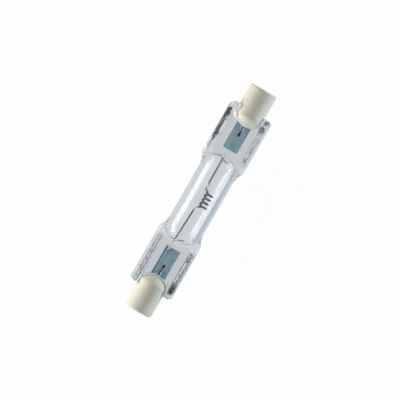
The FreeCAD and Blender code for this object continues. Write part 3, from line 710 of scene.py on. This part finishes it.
# Painted glow: once a ray has met a few surfaces, the glass glows pale of its own, standing in for
# light that the glass still leads along inside after a few reflections.
depth = add(tree, "ShaderNodeLightPath")
painted_glow_mask = add(
    tree, "ShaderNodeMath", {0: depth.outputs["Ray Depth"], 1: PAINTED_GLOW_FROM}, operation="GREATER_THAN"
)
painted_glow = add(tree, "ShaderNodeMath", {0: painted_glow_mask, 1: PAINTED_GLOW}, operation="MULTIPLY")
shader = add(tree, "ShaderNodeBsdfPrincipled", {
    "Base Color": tint, "Transmission Weight": 1.0, "IOR": 1.458, "Roughness": rough,
    "Emission Color": srgb("#e4e9ec"), "Emission Strength": painted_glow, "Normal": bump,
})
add(tree, "ShaderNodeOutputMaterial", {"Surface": shader})
envelope_mesh.materials.append(quartz)
keep("quartz_tube", envelope_mesh, "quartz", "quartz_envelope")


# The marks in the glass, flat flakes laid along lines: painted dark reflections, as streaks along the
# rails, smudges in the shoulders and lines on the foils, and painted highlights, as fine white lines
# beside them and a curved line round each end of the gas space.

PAINTED_DARK_CLOUDS = 1.3 / MM  # to the metre, so each is 0.8 mm across

# The painted dark reflections are matt flakes, nearly black to greenish grey in soft clouds.
painted_dark_flakes, tree = new_material("painted_dark_reflections")
clouds = add(tree, "ShaderNodeTexNoise", {
    "Vector": add(tree, "ShaderNodeTexCoord").outputs["Object"], "Scale": PAINTED_DARK_CLOUDS, "Detail": 3.0,
})
tone = add(tree, "ShaderNodeMix", {
    "Factor": clouds, "A": srgb("#1c2123"), "B": srgb("#68736f"),
}, data_type="RGBA")
shader = add(tree, "ShaderNodeBsdfPrincipled", {"Base Color": tone, "Roughness": 0.8})
add(tree, "ShaderNodeOutputMaterial", {"Surface": shader})

# The painted highlights are matt white flakes, laid where the glass shows bright lines.
painted_highlight_flakes, tree = new_material("painted_highlights")
shader = add(tree, "ShaderNodeBsdfPrincipled", {"Base Color": srgb("#fafcfd"), "Roughness": 0.6})
add(tree, "ShaderNodeOutputMaterial", {"Surface": shader})

streaks_tree = bpy.data.node_groups.new("streaks_along_a_line", "GeometryNodeTree")
tree = streaks_tree
for name, kind in (
    ("Line", "NodeSocketGeometry"),
    ("Streaks", "NodeSocketInt"),
    ("Largest streak", "NodeSocketVector"),
    ("Spread", "NodeSocketVector"),
    ("Seed", "NodeSocketInt"),
    ("Finish", "NodeSocketMaterial"),
):
    tree.interface.new_socket(name, in_out="INPUT", socket_type=kind)
tree.interface.new_socket("Strewn flakes", in_out="OUTPUT", socket_type="NodeSocketGeometry")
given = add(tree, "NodeGroupInput")
line = add(tree, "GeometryNodeMeshToCurve", {"Mesh": given.outputs["Line"]})
places = add(tree, "GeometryNodeResampleCurve", {"Curve": line, "Count": given.outputs["Streaks"]})
opposite = add(
    tree, "ShaderNodeVectorMath", {0: given.outputs["Spread"], "Scale": -1.0}, operation="SCALE"
)
stray = add(tree, "FunctionNodeRandomValue", {
    "Min": opposite, "Max": given.outputs["Spread"], "Seed": given.outputs["Seed"],
}, data_type="FLOAT_VECTOR")
strewn = add(tree, "GeometryNodeSetPosition", {"Geometry": places, "Offset": stray})
smallest = add(
    tree, "ShaderNodeVectorMath", {0: given.outputs["Largest streak"], "Scale": 0.35}, operation="SCALE"
)
sized = add(tree, "FunctionNodeRandomValue", {
    "Min": smallest, "Max": given.outputs["Largest streak"], "Seed": given.outputs["Seed"],
}, data_type="FLOAT_VECTOR")
turned = add(tree, "FunctionNodeRandomValue", {
    "Min": (0.0, 0.0, -0.06), "Max": (0.0, 0.0, 0.06), "Seed": given.outputs["Seed"],
}, data_type="FLOAT_VECTOR")
flake = add(tree, "GeometryNodeMeshUVSphere", {"Segments": 6, "Rings": 4, "Radius": 0.5})
laid = add(tree, "GeometryNodeInstanceOnPoints", {
    "Points": strewn, "Instance": flake, "Rotation": turned, "Scale": sized,
})
real = add(tree, "GeometryNodeRealizeInstances", {"Geometry": laid})
coated = add(tree, "GeometryNodeSetMaterial", {"Geometry": real, "Material": given.outputs["Finish"]})
add(tree, "NodeGroupOutput", {"Strewn flakes": coated})

# A line's marks: how many, the largest of them, and how far they spread, in millimetres
LEFT_PAINTED_SHADE = (170, (0.16, 0.3, 0.04), (0.10, 0.25, 0.04))
RIGHT_PAINTED_SHADE = (150, (0.14, 0.3, 0.04), (0.10, 0.15, 0.04))
# Each line's corners in millimetres, and its marks: painted dark reflections in the rails, the
# shoulders and on the foils.
PAINTED_DARK_LINES = [
    ([(-30.6, 5.20, 0.9), (-14.9, 5.15, 0.9)], 180, (1.8, 0.15, 0.04), (0.3, 0.13, 0.3)),
    ([(-30.8, 5.65, 0.6), (-15.2, 5.60, 0.6)], 240, (0.8, 0.06, 0.04), (0.3, 0.50, 0.4)),
    ([(-29.6, -5.95, 0.9), (-26.4, -5.80, 0.9)], 190, (1.1, 0.17, 0.04), (0.5, 0.75, 0.3)),
    ([(-25.9, -5.20, 0.9), (-15.6, -5.30, 0.9)], 160, (1.3, 0.12, 0.04), (0.3, 0.16, 0.3)),
    ([(-25.9, -6.20, 0.6), (-15.6, -6.20, 0.6)], 280, (0.8, 0.08, 0.04), (0.3, 0.55, 0.4)),
    ([(15.8, 6.35, 0.9), (19.0, 6.15, 0.9)], 26, (1.4, 0.12, 0.04), (0.2, 0.06, 0.3)),
    ([(18.4, 6.28, 0.9), (29.4, 6.22, 0.9)], 205, (1.4, 0.20, 0.04), (0.3, 0.42, 0.3)),
    ([(27.0, 6.22, 0.8), (29.2, 6.16, 0.8)], 60, (1.0, 0.18, 0.04), (0.2, 0.36, 0.2)),
    ([(27.2, -5.50, 0.9), (28.8, -5.45, 0.9)], 70, (0.9, 0.15, 0.04), (0.6, 0.75, 0.3)),
    ([(15.6, -5.60, 0.8), (28.4, -5.55, 0.8)], 280, (0.9, 0.08, 0.04), (0.3, 0.70, 0.3)),
    ([(29.7, -4.90, 0.6), (31.0, -4.90, 0.6)], 150, (0.7, 0.12, 0.04), (0.5, 1.60, 0.3)),
    ([(-13.9, 0.1, 2.40), (-13.45, -0.6, 3.1), (-13.0, -1.3, 3.65)], *LEFT_PAINTED_SHADE),
    ([(-13.8, -0.4, 2.55), (-13.35, -1.1, 3.15), (-12.9, -1.8, 3.6)], *LEFT_PAINTED_SHADE),
    ([(14.3, 0.10, 3.30), (14.15, -1.20, 3.25)], *RIGHT_PAINTED_SHADE),
    ([(13.95, 0.20, 3.70), (13.8, -1.20, 3.6)], *RIGHT_PAINTED_SHADE),
    ([(-29.0, 2.05, 0.05), (-17.4, 2.00, 0.05)], 60, (1.4, 0.12, 0.04), (0.3, 0.04, 0.02)),
    ([(-18.1, 0.32, 0.45), (-17.3, 0.28, 0.45)], 14, (0.5, 0.16, 0.04), (0.1, 0.10, 0.03)),
    ([(22.0, -2.40, 0.05), (28.5, -2.42, 0.05)], 30, (0.6, 0.10, 0.04), (0.3, 0.05, 0.02)),
]
# Painted highlights: white flakes along the bright lines in the rails, beside the leads and on the foil.
PAINTED_HIGHLIGHT_LINES = [
    ([(-30.4, -4.85, 0.9), (-26.6, -4.85, 0.9)], 80, (0.8, 0.24, 0.04), (0.2, 0.05, 0.2)),
    ([(-29.6, 4.45, 0.9), (-25.6, 4.45, 0.9)], 80, (0.8, 0.24, 0.04), (0.2, 0.05, 0.2)),
    ([(-25.6, -5.60, 1.1), (-19.0, -5.85, 1.1)], 100, (0.9, 0.22, 0.04), (0.2, 0.05, 0.2)),
    ([(15.9, 6.70, 1.0), (19.2, 6.62, 1.0)], 60, (1.0, 0.20, 0.04), (0.2, 0.12, 0.2)),
    ([(28.3, -2.70, 1.2), (29.3, -4.60, 1.1), (29.4, -6.20, 1.0)], 90, (0.3, 0.20, 0.04),
     (0.1, 0.06, 0.1)),
    ([(-22.6, 1.62, 0.05), (-17.2, 1.55, 0.05)], 50, (0.9, 0.10, 0.04), (0.2, 0.04, 0.02)),
    ([(-29.2, 0.56, 0.5), (-25.8, 0.56, 0.5)], 70, (0.7, 0.20, 0.04), (0.1, 0.04, 0.03)),
    ([(-28.4, -0.52, 0.5), (-25.5, -0.52, 0.5)], 70, (0.7, 0.20, 0.04), (0.1, 0.04, 0.03)),
    ([(25.4, 0.54, 0.5), (28.8, 0.54, 0.5)], 70, (0.7, 0.20, 0.04), (0.1, 0.04, 0.03)),
    ([(25.6, -0.54, 0.5), (28.8, -0.54, 0.5)], 70, (0.7, 0.20, 0.04), (0.1, 0.04, 0.03)),
]
# The painted highlight round the ends of the gas space: across, height, and the place along at the
# left and at the right
GAS_ENDS = [
    (6.2, 1.6, -12.0, 12.9), (5.3, 1.6, -12.6, 13.5), (4.4, 1.3, -13.3, 14.1), (3.3, 1.3, -13.8, 14.65),
    (2.0, 1.6, -14.2, 15.05), (1.0, 1.6, -14.4, 15.25), (0.3, 1.6, -14.4, 15.25),
    (-0.6, 1.6, -14.3, 15.15), (-1.8, 1.6, -14.0, 14.9), (-3.0, 1.3, -13.5, 14.4),
    (-4.2, 1.3, -12.9, 13.8), (-5.2, 1.3, -12.4, 13.3), (-6.0, 1.6, -12.1, 12.9),
]
for place in (2, 3):
    for face in (1, -1):
        line = [(corner[place], corner[0], face * corner[1]) for corner in GAS_ENDS]
        PAINTED_HIGHLIGHT_LINES.append((line, 420, (0.34, 0.34, 0.05), (0.17, 0.13, 0.1)))


def marks_along(lines, finish):
    """Strews flat marks along each line and returns them as one mesh."""
    form = bmesh.new()
    for number, (line, marks, largest, spread) in enumerate(lines):
        line_mesh = bpy.data.meshes.new("line")
        steps = [(place, place + 1) for place in range(len(line) - 1)]
        line_mesh.from_pydata([[c * MM for c in corner] for corner in line], steps, [])
        line_object = put("line", line_mesh)
        flakes = made_by_nodes(line_object, streaks_tree, {
            "Streaks": marks, "Largest streak": [c * MM for c in largest],
            "Spread": [c * MM for c in spread], "Seed": number, "Finish": finish,
        })
        form.from_mesh(flakes)
    mesh = bpy.data.meshes.new("marks")
    form.to_mesh(mesh)
    form.free()
    mesh.materials.append(finish)
    return mesh


keep("painted_dark_marks_in_the_glass", marks_along(PAINTED_DARK_LINES, painted_dark_flakes), "quartz")
keep("painted_highlight_lines_in_the_glass", marks_along(PAINTED_HIGHLIGHT_LINES, painted_highlight_flakes), "quartz")


# The ceramic caps: steatite powder, pressed in a die and fired, unglazed. Each is a plain barrel whose
# inner end is crowned and slotted to straddle the pinch. The cement holds it there.

CAP_VOXEL = 0.15 * MM
CERAMIC_GRAIN = 2.2 / MM  # to the metre, coarser than the real grain, so that it shows
CERAMIC_CLOUDS = 0.16 / MM  # 6 mm across

# Unglazed steatite is matt and cream, cloudy over a few millimetres, with a fine grain.
steatite, tree = new_material("unglazed_steatite")
where = add(tree, "ShaderNodeTexCoord").outputs["Object"]
grain = add(tree, "ShaderNodeTexNoise", {"Vector": where, "Scale": CERAMIC_GRAIN, "Detail": 4.0})
cloud = add(tree, "ShaderNodeTexNoise", {"Vector": where, "Scale": CERAMIC_CLOUDS, "Detail": 2.0})
tone = add(tree, "ShaderNodeMix", {
    "Factor": cloud, "A": srgb("#eae1c4"), "B": srgb("#f4edd6"),
}, data_type="RGBA")
bump = add(tree, "ShaderNodeBump", {"Height": grain, "Strength": 0.35, "Distance": 0.05 * MM})
shader = add(tree, "ShaderNodeBsdfPrincipled", {"Base Color": tone, "Roughness": 0.62, "Normal": bump})
add(tree, "ShaderNodeOutputMaterial", {"Surface": shader})


def worn_form(form, name, voxel, rounds):
    """Fuses what a bmesh holds and rounds every edge, as pressing and firing leaves it."""
    mesh = bpy.data.meshes.new(name)
    form.to_mesh(mesh)
    form.free()
    source = put(f"{name}_copy", mesh)
    grid = source.modifiers.new("grid", "REMESH")
    grid.mode = "VOXEL"
    grid.voxel_size = voxel
    ease = source.modifiers.new("ease", "SMOOTH")
    ease.factor = 0.5
    ease.iterations = rounds
    bpy.context.view_layer.update()
    evaluated = source.evaluated_get(bpy.context.evaluated_depsgraph_get())
    mesh = bpy.data.meshes.new_from_object(evaluated)
    bpy.data.objects.remove(source)
    mesh.materials.clear()
    mesh.shade_smooth()
    return mesh


def solid_copy(name):
    form = bmesh.new()
    form.from_mesh(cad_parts[name].data)
    bmesh.ops.remove_doubles(form, verts=form.verts, dist=0.001 * MM)
    return form


for side in SIDES:
    mesh = worn_form(solid_copy(f"ceramic_cap_{side}"), f"cap_{side}", CAP_VOXEL, 4)
    mesh.materials.append(steatite)
    keep(f"steatite_cap_{side}", mesh, "ceramic", f"ceramic_cap_{side}")


# The cement: a pale paste of silica and waterglass, pushed into the slot, wiped round the cap's mouth
# by hand and dried rough. On the right it fills the corner out to the pinch's edge.

CEMENT_VOXEL = 0.12 * MM
CROWN_CENTRE = 31.45 * MM
CROWN_RADIUS = 5.05 * MM
BARREL_RADIUS = 4.5 * MM
WIPED_OFF_PAST = 7.15 * MM  # across, just short of the pinch's edge
FILLETS = {"left": (0.8 * MM, 5.15 * MM), "right": (1.2 * MM, 5.35 * MM)}  # rise and reach
# The fill in the right corner: along, across and height, in millimetres
CORNER_FILL = [(27.9, 3.4, 2.7), (31.9, 3.4, 3.2), (31.8, 5.8, 2.4), (31.3, 6.8, 2.1), (30.9, 6.95, 1.9)]
CORNER_FOOT = 1.4
CORNER_SIDE = (3.0 * MM, 4.4 * MM)
LOW_SIDE = (1.0 * MM, 4.0 * MM)
LUMP = 0.9 * MM
LUMP_HEIGHT = 0.10 * MM
CRUMB = 0.35 * MM
CRUMB_HEIGHT = 0.05 * MM
GRIT = 1.5 / MM  # to the metre, coarser than the real grit, so that it shows

# Dried cement is chalky, a little warmer than white, and full of grit.
cement, tree = new_material("dried_cement")
where = add(tree, "ShaderNodeTexCoord").outputs["Object"]
grain = add(tree, "ShaderNodeTexNoise", {"Vector": where, "Scale": GRIT, "Detail": 5.0})
tone = add(tree, "ShaderNodeMix", {
    "Factor": grain, "A": srgb("#f1efe5"), "B": srgb("#fcfbf6"),
}, data_type="RGBA")
bump = add(tree, "ShaderNodeBump", {"Height": grain, "Strength": 0.7, "Distance": 0.12 * MM})
shader = add(tree, "ShaderNodeBsdfPrincipled", {"Base Color": tone, "Roughness": 0.8, "Normal": bump})
add(tree, "ShaderNodeOutputMaterial", {"Surface": shader})


def slab(form, corners, low):
    """Adds a slab with those corners, each with its height, in millimetres."""
    count = len(corners)
    made = [form.verts.new((x * MM, y * MM, low * MM)) for x, y, _ in corners]
    made += [form.verts.new((x * MM, y * MM, high * MM)) for x, y, high in corners]
    form.faces.new(made[:count][::-1])
    form.faces.new(made[count:])
    for a in range(count):
        b = (a + 1) % count
        form.faces.new((made[a], made[b], made[count + b], made[count + a]))


def fillet(form, way, rise, width):
    """Adds the cement that was wiped into the corner between the crown and the pinch's faces."""
    foot, top = 1.3 * MM, 1.5 * MM + rise
    held = math.sqrt(CROWN_RADIUS**2 - top**2)
    section = [
        (held - 0.5 * MM, foot),
        (held - 0.15 * MM, top),
        (0.55 * held + 0.45 * width, top - 0.2 * rise),
        (width, foot + 0.3 * MM),
        (width + 0.1 * MM, foot),
    ]
    for face in (1, -1):
        rings = []
        for angle in np.radians(np.linspace(-74.0, 74.0, 51)):
            ring = []
            for reach, height in section:
                x = way * (CROWN_CENTRE - reach * math.cos(angle))
                ring.append(form.verts.new((x, reach * math.sin(angle), face * height)))
            rings.append(ring)
        for a, b in zip(rings, rings[1:]):
            for corner in range(len(section)):
                after = (corner + 1) % len(section)
                form.faces.new((a[corner], b[corner], b[after], a[after]))
        form.faces.new(rings[0])
        form.faces.new(rings[-1][::-1])


for side, way in SIDES.items():
    form = solid_copy(f"cement_{side}")
    fillet(form, way, *FILLETS[side])
    if side == "right":
        slab(form, CORNER_FILL, CORNER_FOOT)
    bmesh.ops.recalc_face_normals(form, faces=form.faces)
    mesh = worn_form(form, f"cement_{side}", CEMENT_VOXEL, 3)
    spots = np.empty(len(mesh.vertices) * 3)
    mesh.vertices.foreach_get("co", spots)
    spots = spots.reshape(-1, 3)
    lumps = LUMP_HEIGHT * uneven(spots, LUMP, 60 + way) + CRUMB_HEIGHT * uneven(spots, CRUMB, 64)
    x, y, z = spots.T
    ax = np.abs(x)
    past = np.minimum(ax - CROWN_CENTRE, 0.0)
    reach = np.hypot(past, y)
    held = np.where(ax < CROWN_CENTRE, CROWN_RADIUS, BARREL_RADIUS)
    excess = np.maximum(reach - held, 0.0)
    corner = (side == "right") * smooth_step(y, *CORNER_SIDE)
    low_side = smooth_step(-y, *LOW_SIDE) * 0.8
    keep_share = 0.2 + 0.8 * np.maximum(low_side, corner)
    share = (held + excess * keep_share) / np.maximum(reach, 1e-6)
    share = np.where(excess > 0, share, 1.0)
    grow = 1 + lumps / (3 * MM) * (np.abs(z) > 1.6 * MM)
    x = np.sign(x) * (CROWN_CENTRE + past * share * grow + (ax - CROWN_CENTRE - past))
    y = np.clip(y * share * grow, -WIPED_OFF_PAST, WIPED_OFF_PAST)
    z = z + np.sign(z) * lumps * (np.abs(z) > 1.7 * MM)
    mesh.vertices.foreach_set("co", np.stack([x, y, z], axis=1).ravel())
    mesh.update()
    mesh.materials.append(cement)
    keep(f"dried_cement_{side}", mesh, "cement", f"cement_{side}")


# The contacts: turned nickel buttons, pushed into the recess at the end of each cap, with the outer
# lead welded inside their shanks.

TOOL_RINGS = 0.12 * MM
TARNISH = 0.9 / MM  # to the metre, so each patch is 1.1 mm across

# Turned nickel is warm and bright, with fine rings from the tool.
nickel, tree = new_material("turned_nickel")
where = add(tree, "ShaderNodeTexCoord").outputs["Object"]
apart = add(tree, "ShaderNodeSeparateXYZ", {"Vector": where})
flat = add(tree, "ShaderNodeCombineXYZ", {"X": apart.outputs["Y"], "Y": apart.outputs["Z"]})
from_middle = add(tree, "ShaderNodeVectorMath", {0: flat}, operation="LENGTH")
rings = add(tree, "ShaderNodeMath", {
    0: from_middle.outputs["Value"], 1: 2 * math.pi / TOOL_RINGS,
}, operation="MULTIPLY")
ridge = add(tree, "ShaderNodeMath", {0: rings}, operation="SINE")
tarnish = add(tree, "ShaderNodeTexNoise", {"Vector": where, "Scale": TARNISH, "Detail": 3.0})
tone = add(tree, "ShaderNodeMix", {
    "Factor": tarnish, "A": srgb("#a9a59c"), "B": srgb("#d3d0c8"),
}, data_type="RGBA")
bump = add(tree, "ShaderNodeBump", {"Height": ridge, "Strength": 0.25, "Distance": 0.02 * MM})
shader = add(tree, "ShaderNodeBsdfPrincipled", {
    "Base Color": tone, "Metallic": 1.0, "Roughness": 0.32, "Normal": bump,
})
add(tree, "ShaderNodeOutputMaterial", {"Surface": shader})
for side in SIDES:
    dress(f"contact_{side}", nickel)


# The studio: a pale table under the bulb, a long low white lamp on one side, a cooler one and a narrow
# high strip on the other, white cards beyond both ends and a dark ceiling. Light that comes out of
# the glass meets a pale room all round. The camera looks almost straight down.

FLOOR_Z = -5.9 * MM
FLOOR_REACH = 0.6
SHADE = (-9.0 * MM, -6.0 * MM)  # across the table, where the tone of the shadow's side ends
SEEN_STRAIGHT = 0.97  # how far the table shows its plain colour, whatever light falls on it
SEEN_THROUGH_GLASS = 0.8
# How far towards the ends the cards start and are full, and how high the ceiling dims, with levels
CARDS = {"From Min": 0.7, "From Max": 0.9, "To Max": 0.9}
CEILING = {"From Min": 0.1, "From Max": 0.6, "To Min": 0.1, "To Max": 0.02}
# Each lamp's place, length and width in metres, its watts and its colour
LAMPS = {
    "key_lamp": ((-0.2, 0.388, 0.096), 0.85, 0.14, 3.25, "#f8faff"),
    "fill_lamp": ((0.2, -0.392, 0.078), 0.85, 0.14, 2.25, "#d8e9ff"),
    "strip_lamp": ((0.0, -0.297, 0.268), 0.6, 0.025, 0.17, "#e6f1ff"),
}

corners = [(-1, -1), (1, -1), (1, 1), (-1, 1)]
corners = [(x * FLOOR_REACH, y * FLOOR_REACH, FLOOR_Z) for x, y in corners]
floor_mesh = bpy.data.meshes.new("table_top")
floor_mesh.from_pydata(corners, [], [(0, 1, 2, 3)])
floor = put("table_top", floor_mesh)

# The table is painted matt white. Through the glass it looks a little darker, most on the side where
# the bulb's shadow falls.
table, tree = new_material("white_table")
rays = add(tree, "ShaderNodeLightPath")
painted = add(tree, "ShaderNodeBsdfDiffuse", {"Color": srgb("#e9e9ea")})
shown = add(tree, "ShaderNodeEmission", {"Color": srgb("#ffffff"), "Strength": 1.0})
spot = add(tree, "ShaderNodeSeparateXYZ", {"Vector": add(tree, "ShaderNodeTexCoord").outputs["Object"]})
shaded = add(tree, "ShaderNodeMapRange", {
    "Value": spot.outputs["Y"], "From Min": SHADE[0], "From Max": SHADE[1],
}, interpolation_type="SMOOTHSTEP")
table_tone = add(tree, "ShaderNodeMix", {
    "Factor": shaded, "A": srgb("#c2cbd4"), "B": srgb("#e9ebec"),
}, data_type="RGBA")
through = add(tree, "ShaderNodeEmission", {"Color": table_tone, "Strength": 1.0})
seen = add(
    tree, "ShaderNodeMixShader", {"Fac": rays.outputs["Is Transmission Ray"], 1: shown, 2: through}
)
direct = add(
    tree, "ShaderNodeMath", {0: rays.outputs["Is Camera Ray"], 1: SEEN_STRAIGHT}, operation="MULTIPLY"
)
bent = add(tree, "ShaderNodeMath", {
    0: rays.outputs["Is Transmission Ray"], 1: SEEN_THROUGH_GLASS,
}, operation="MULTIPLY")
share = add(tree, "ShaderNodeMath", {0: direct, 1: bent}, operation="MAXIMUM")
mixed = add(tree, "ShaderNodeMixShader", {"Fac": share, 1: painted, 2: seen})
add(tree, "ShaderNodeOutputMaterial", {"Surface": mixed})
floor_mesh.materials.append(table)

world = bpy.data.worlds.new("studio")
bpy.context.scene.world = world
world.use_nodes = True
tree = world.node_tree
tree.nodes.clear()
rays = add(tree, "ShaderNodeLightPath")
outwards = add(tree, "ShaderNodeTexCoord").outputs["Generated"]
towards = add(tree, "ShaderNodeSeparateXYZ", {"Vector": outwards})
endwards = add(tree, "ShaderNodeMath", {0: towards.outputs["X"]}, operation="ABSOLUTE")
cards = add(tree, "ShaderNodeMapRange", {"Value": endwards, **CARDS}, interpolation_type="SMOOTHSTEP")
ceiling = add(tree, "ShaderNodeMapRange", {"Value": towards.outputs["Z"], **CEILING})
walls = add(tree, "ShaderNodeMath", {0: ceiling, 1: cards}, operation="MAXIMUM")
level = add(
    tree, "ShaderNodeMath", {0: walls, 1: rays.outputs["Is Transmission Ray"]}, operation="MAXIMUM"
)
lit = add(tree, "ShaderNodeBackground", {"Color": srgb("#f2f5f8"), "Strength": level})
white = add(tree, "ShaderNodeBackground", {"Color": srgb("#ffffff"), "Strength": 1.0})
mixed = add(tree, "ShaderNodeMixShader", {"Fac": rays.outputs["Is Camera Ray"], 1: lit, 2: white})
add(tree, "ShaderNodeOutputWorld", {"Surface": mixed})

for name, (place, length, width, watts, colour) in LAMPS.items():
    lamp_data = bpy.data.lights.new(name, "AREA")
    lamp_data.shape = "RECTANGLE"
    lamp_data.size = length
    lamp_data.size_y = width
    lamp_data.energy = watts
    lamp_data.color = srgb(colour)[:3]
    lamp = put(name, lamp_data)
    lamp.location = place
    lamp.rotation_euler = (-Vector(place)).to_track_quat("-Z", "Y").to_euler()

PIXEL = 0.3065 * MM
FRAME_PIXELS = 400
ROLL = math.radians(60.17)
AIM = (-0.8, 0.6)  # the picture's middle from the bulb's, in pixels
CAMERA_PLACE = Vector((0.039, 0.0, 0.74))
SENSOR = 36.0
camera_data = bpy.data.cameras.new("camera")
camera = put("camera", camera_data)
bpy.context.scene.camera = camera
back = CAMERA_PLACE.normalized()
along = (Vector((1, 0, 0)) - back * back.x).normalized()
across = back.cross(along)
right = along * math.cos(ROLL) - across * math.sin(ROLL)
up = along * math.sin(ROLL) + across * math.cos(ROLL)
camera.rotation_mode = "QUATERNION"
camera.rotation_quaternion = Matrix((right, up, back)).transposed().to_quaternion()
camera.location = CAMERA_PLACE + (AIM[0] * right + AIM[1] * up) * PIXEL
camera_data.sensor_width = SENSOR
camera_data.lens = SENSOR * CAMERA_PLACE.length / (FRAME_PIXELS * PIXEL)
camera_data.clip_start = 0.05
camera_data.clip_end = 10.0

bpy.context.scene.view_settings.view_transform = "Standard"
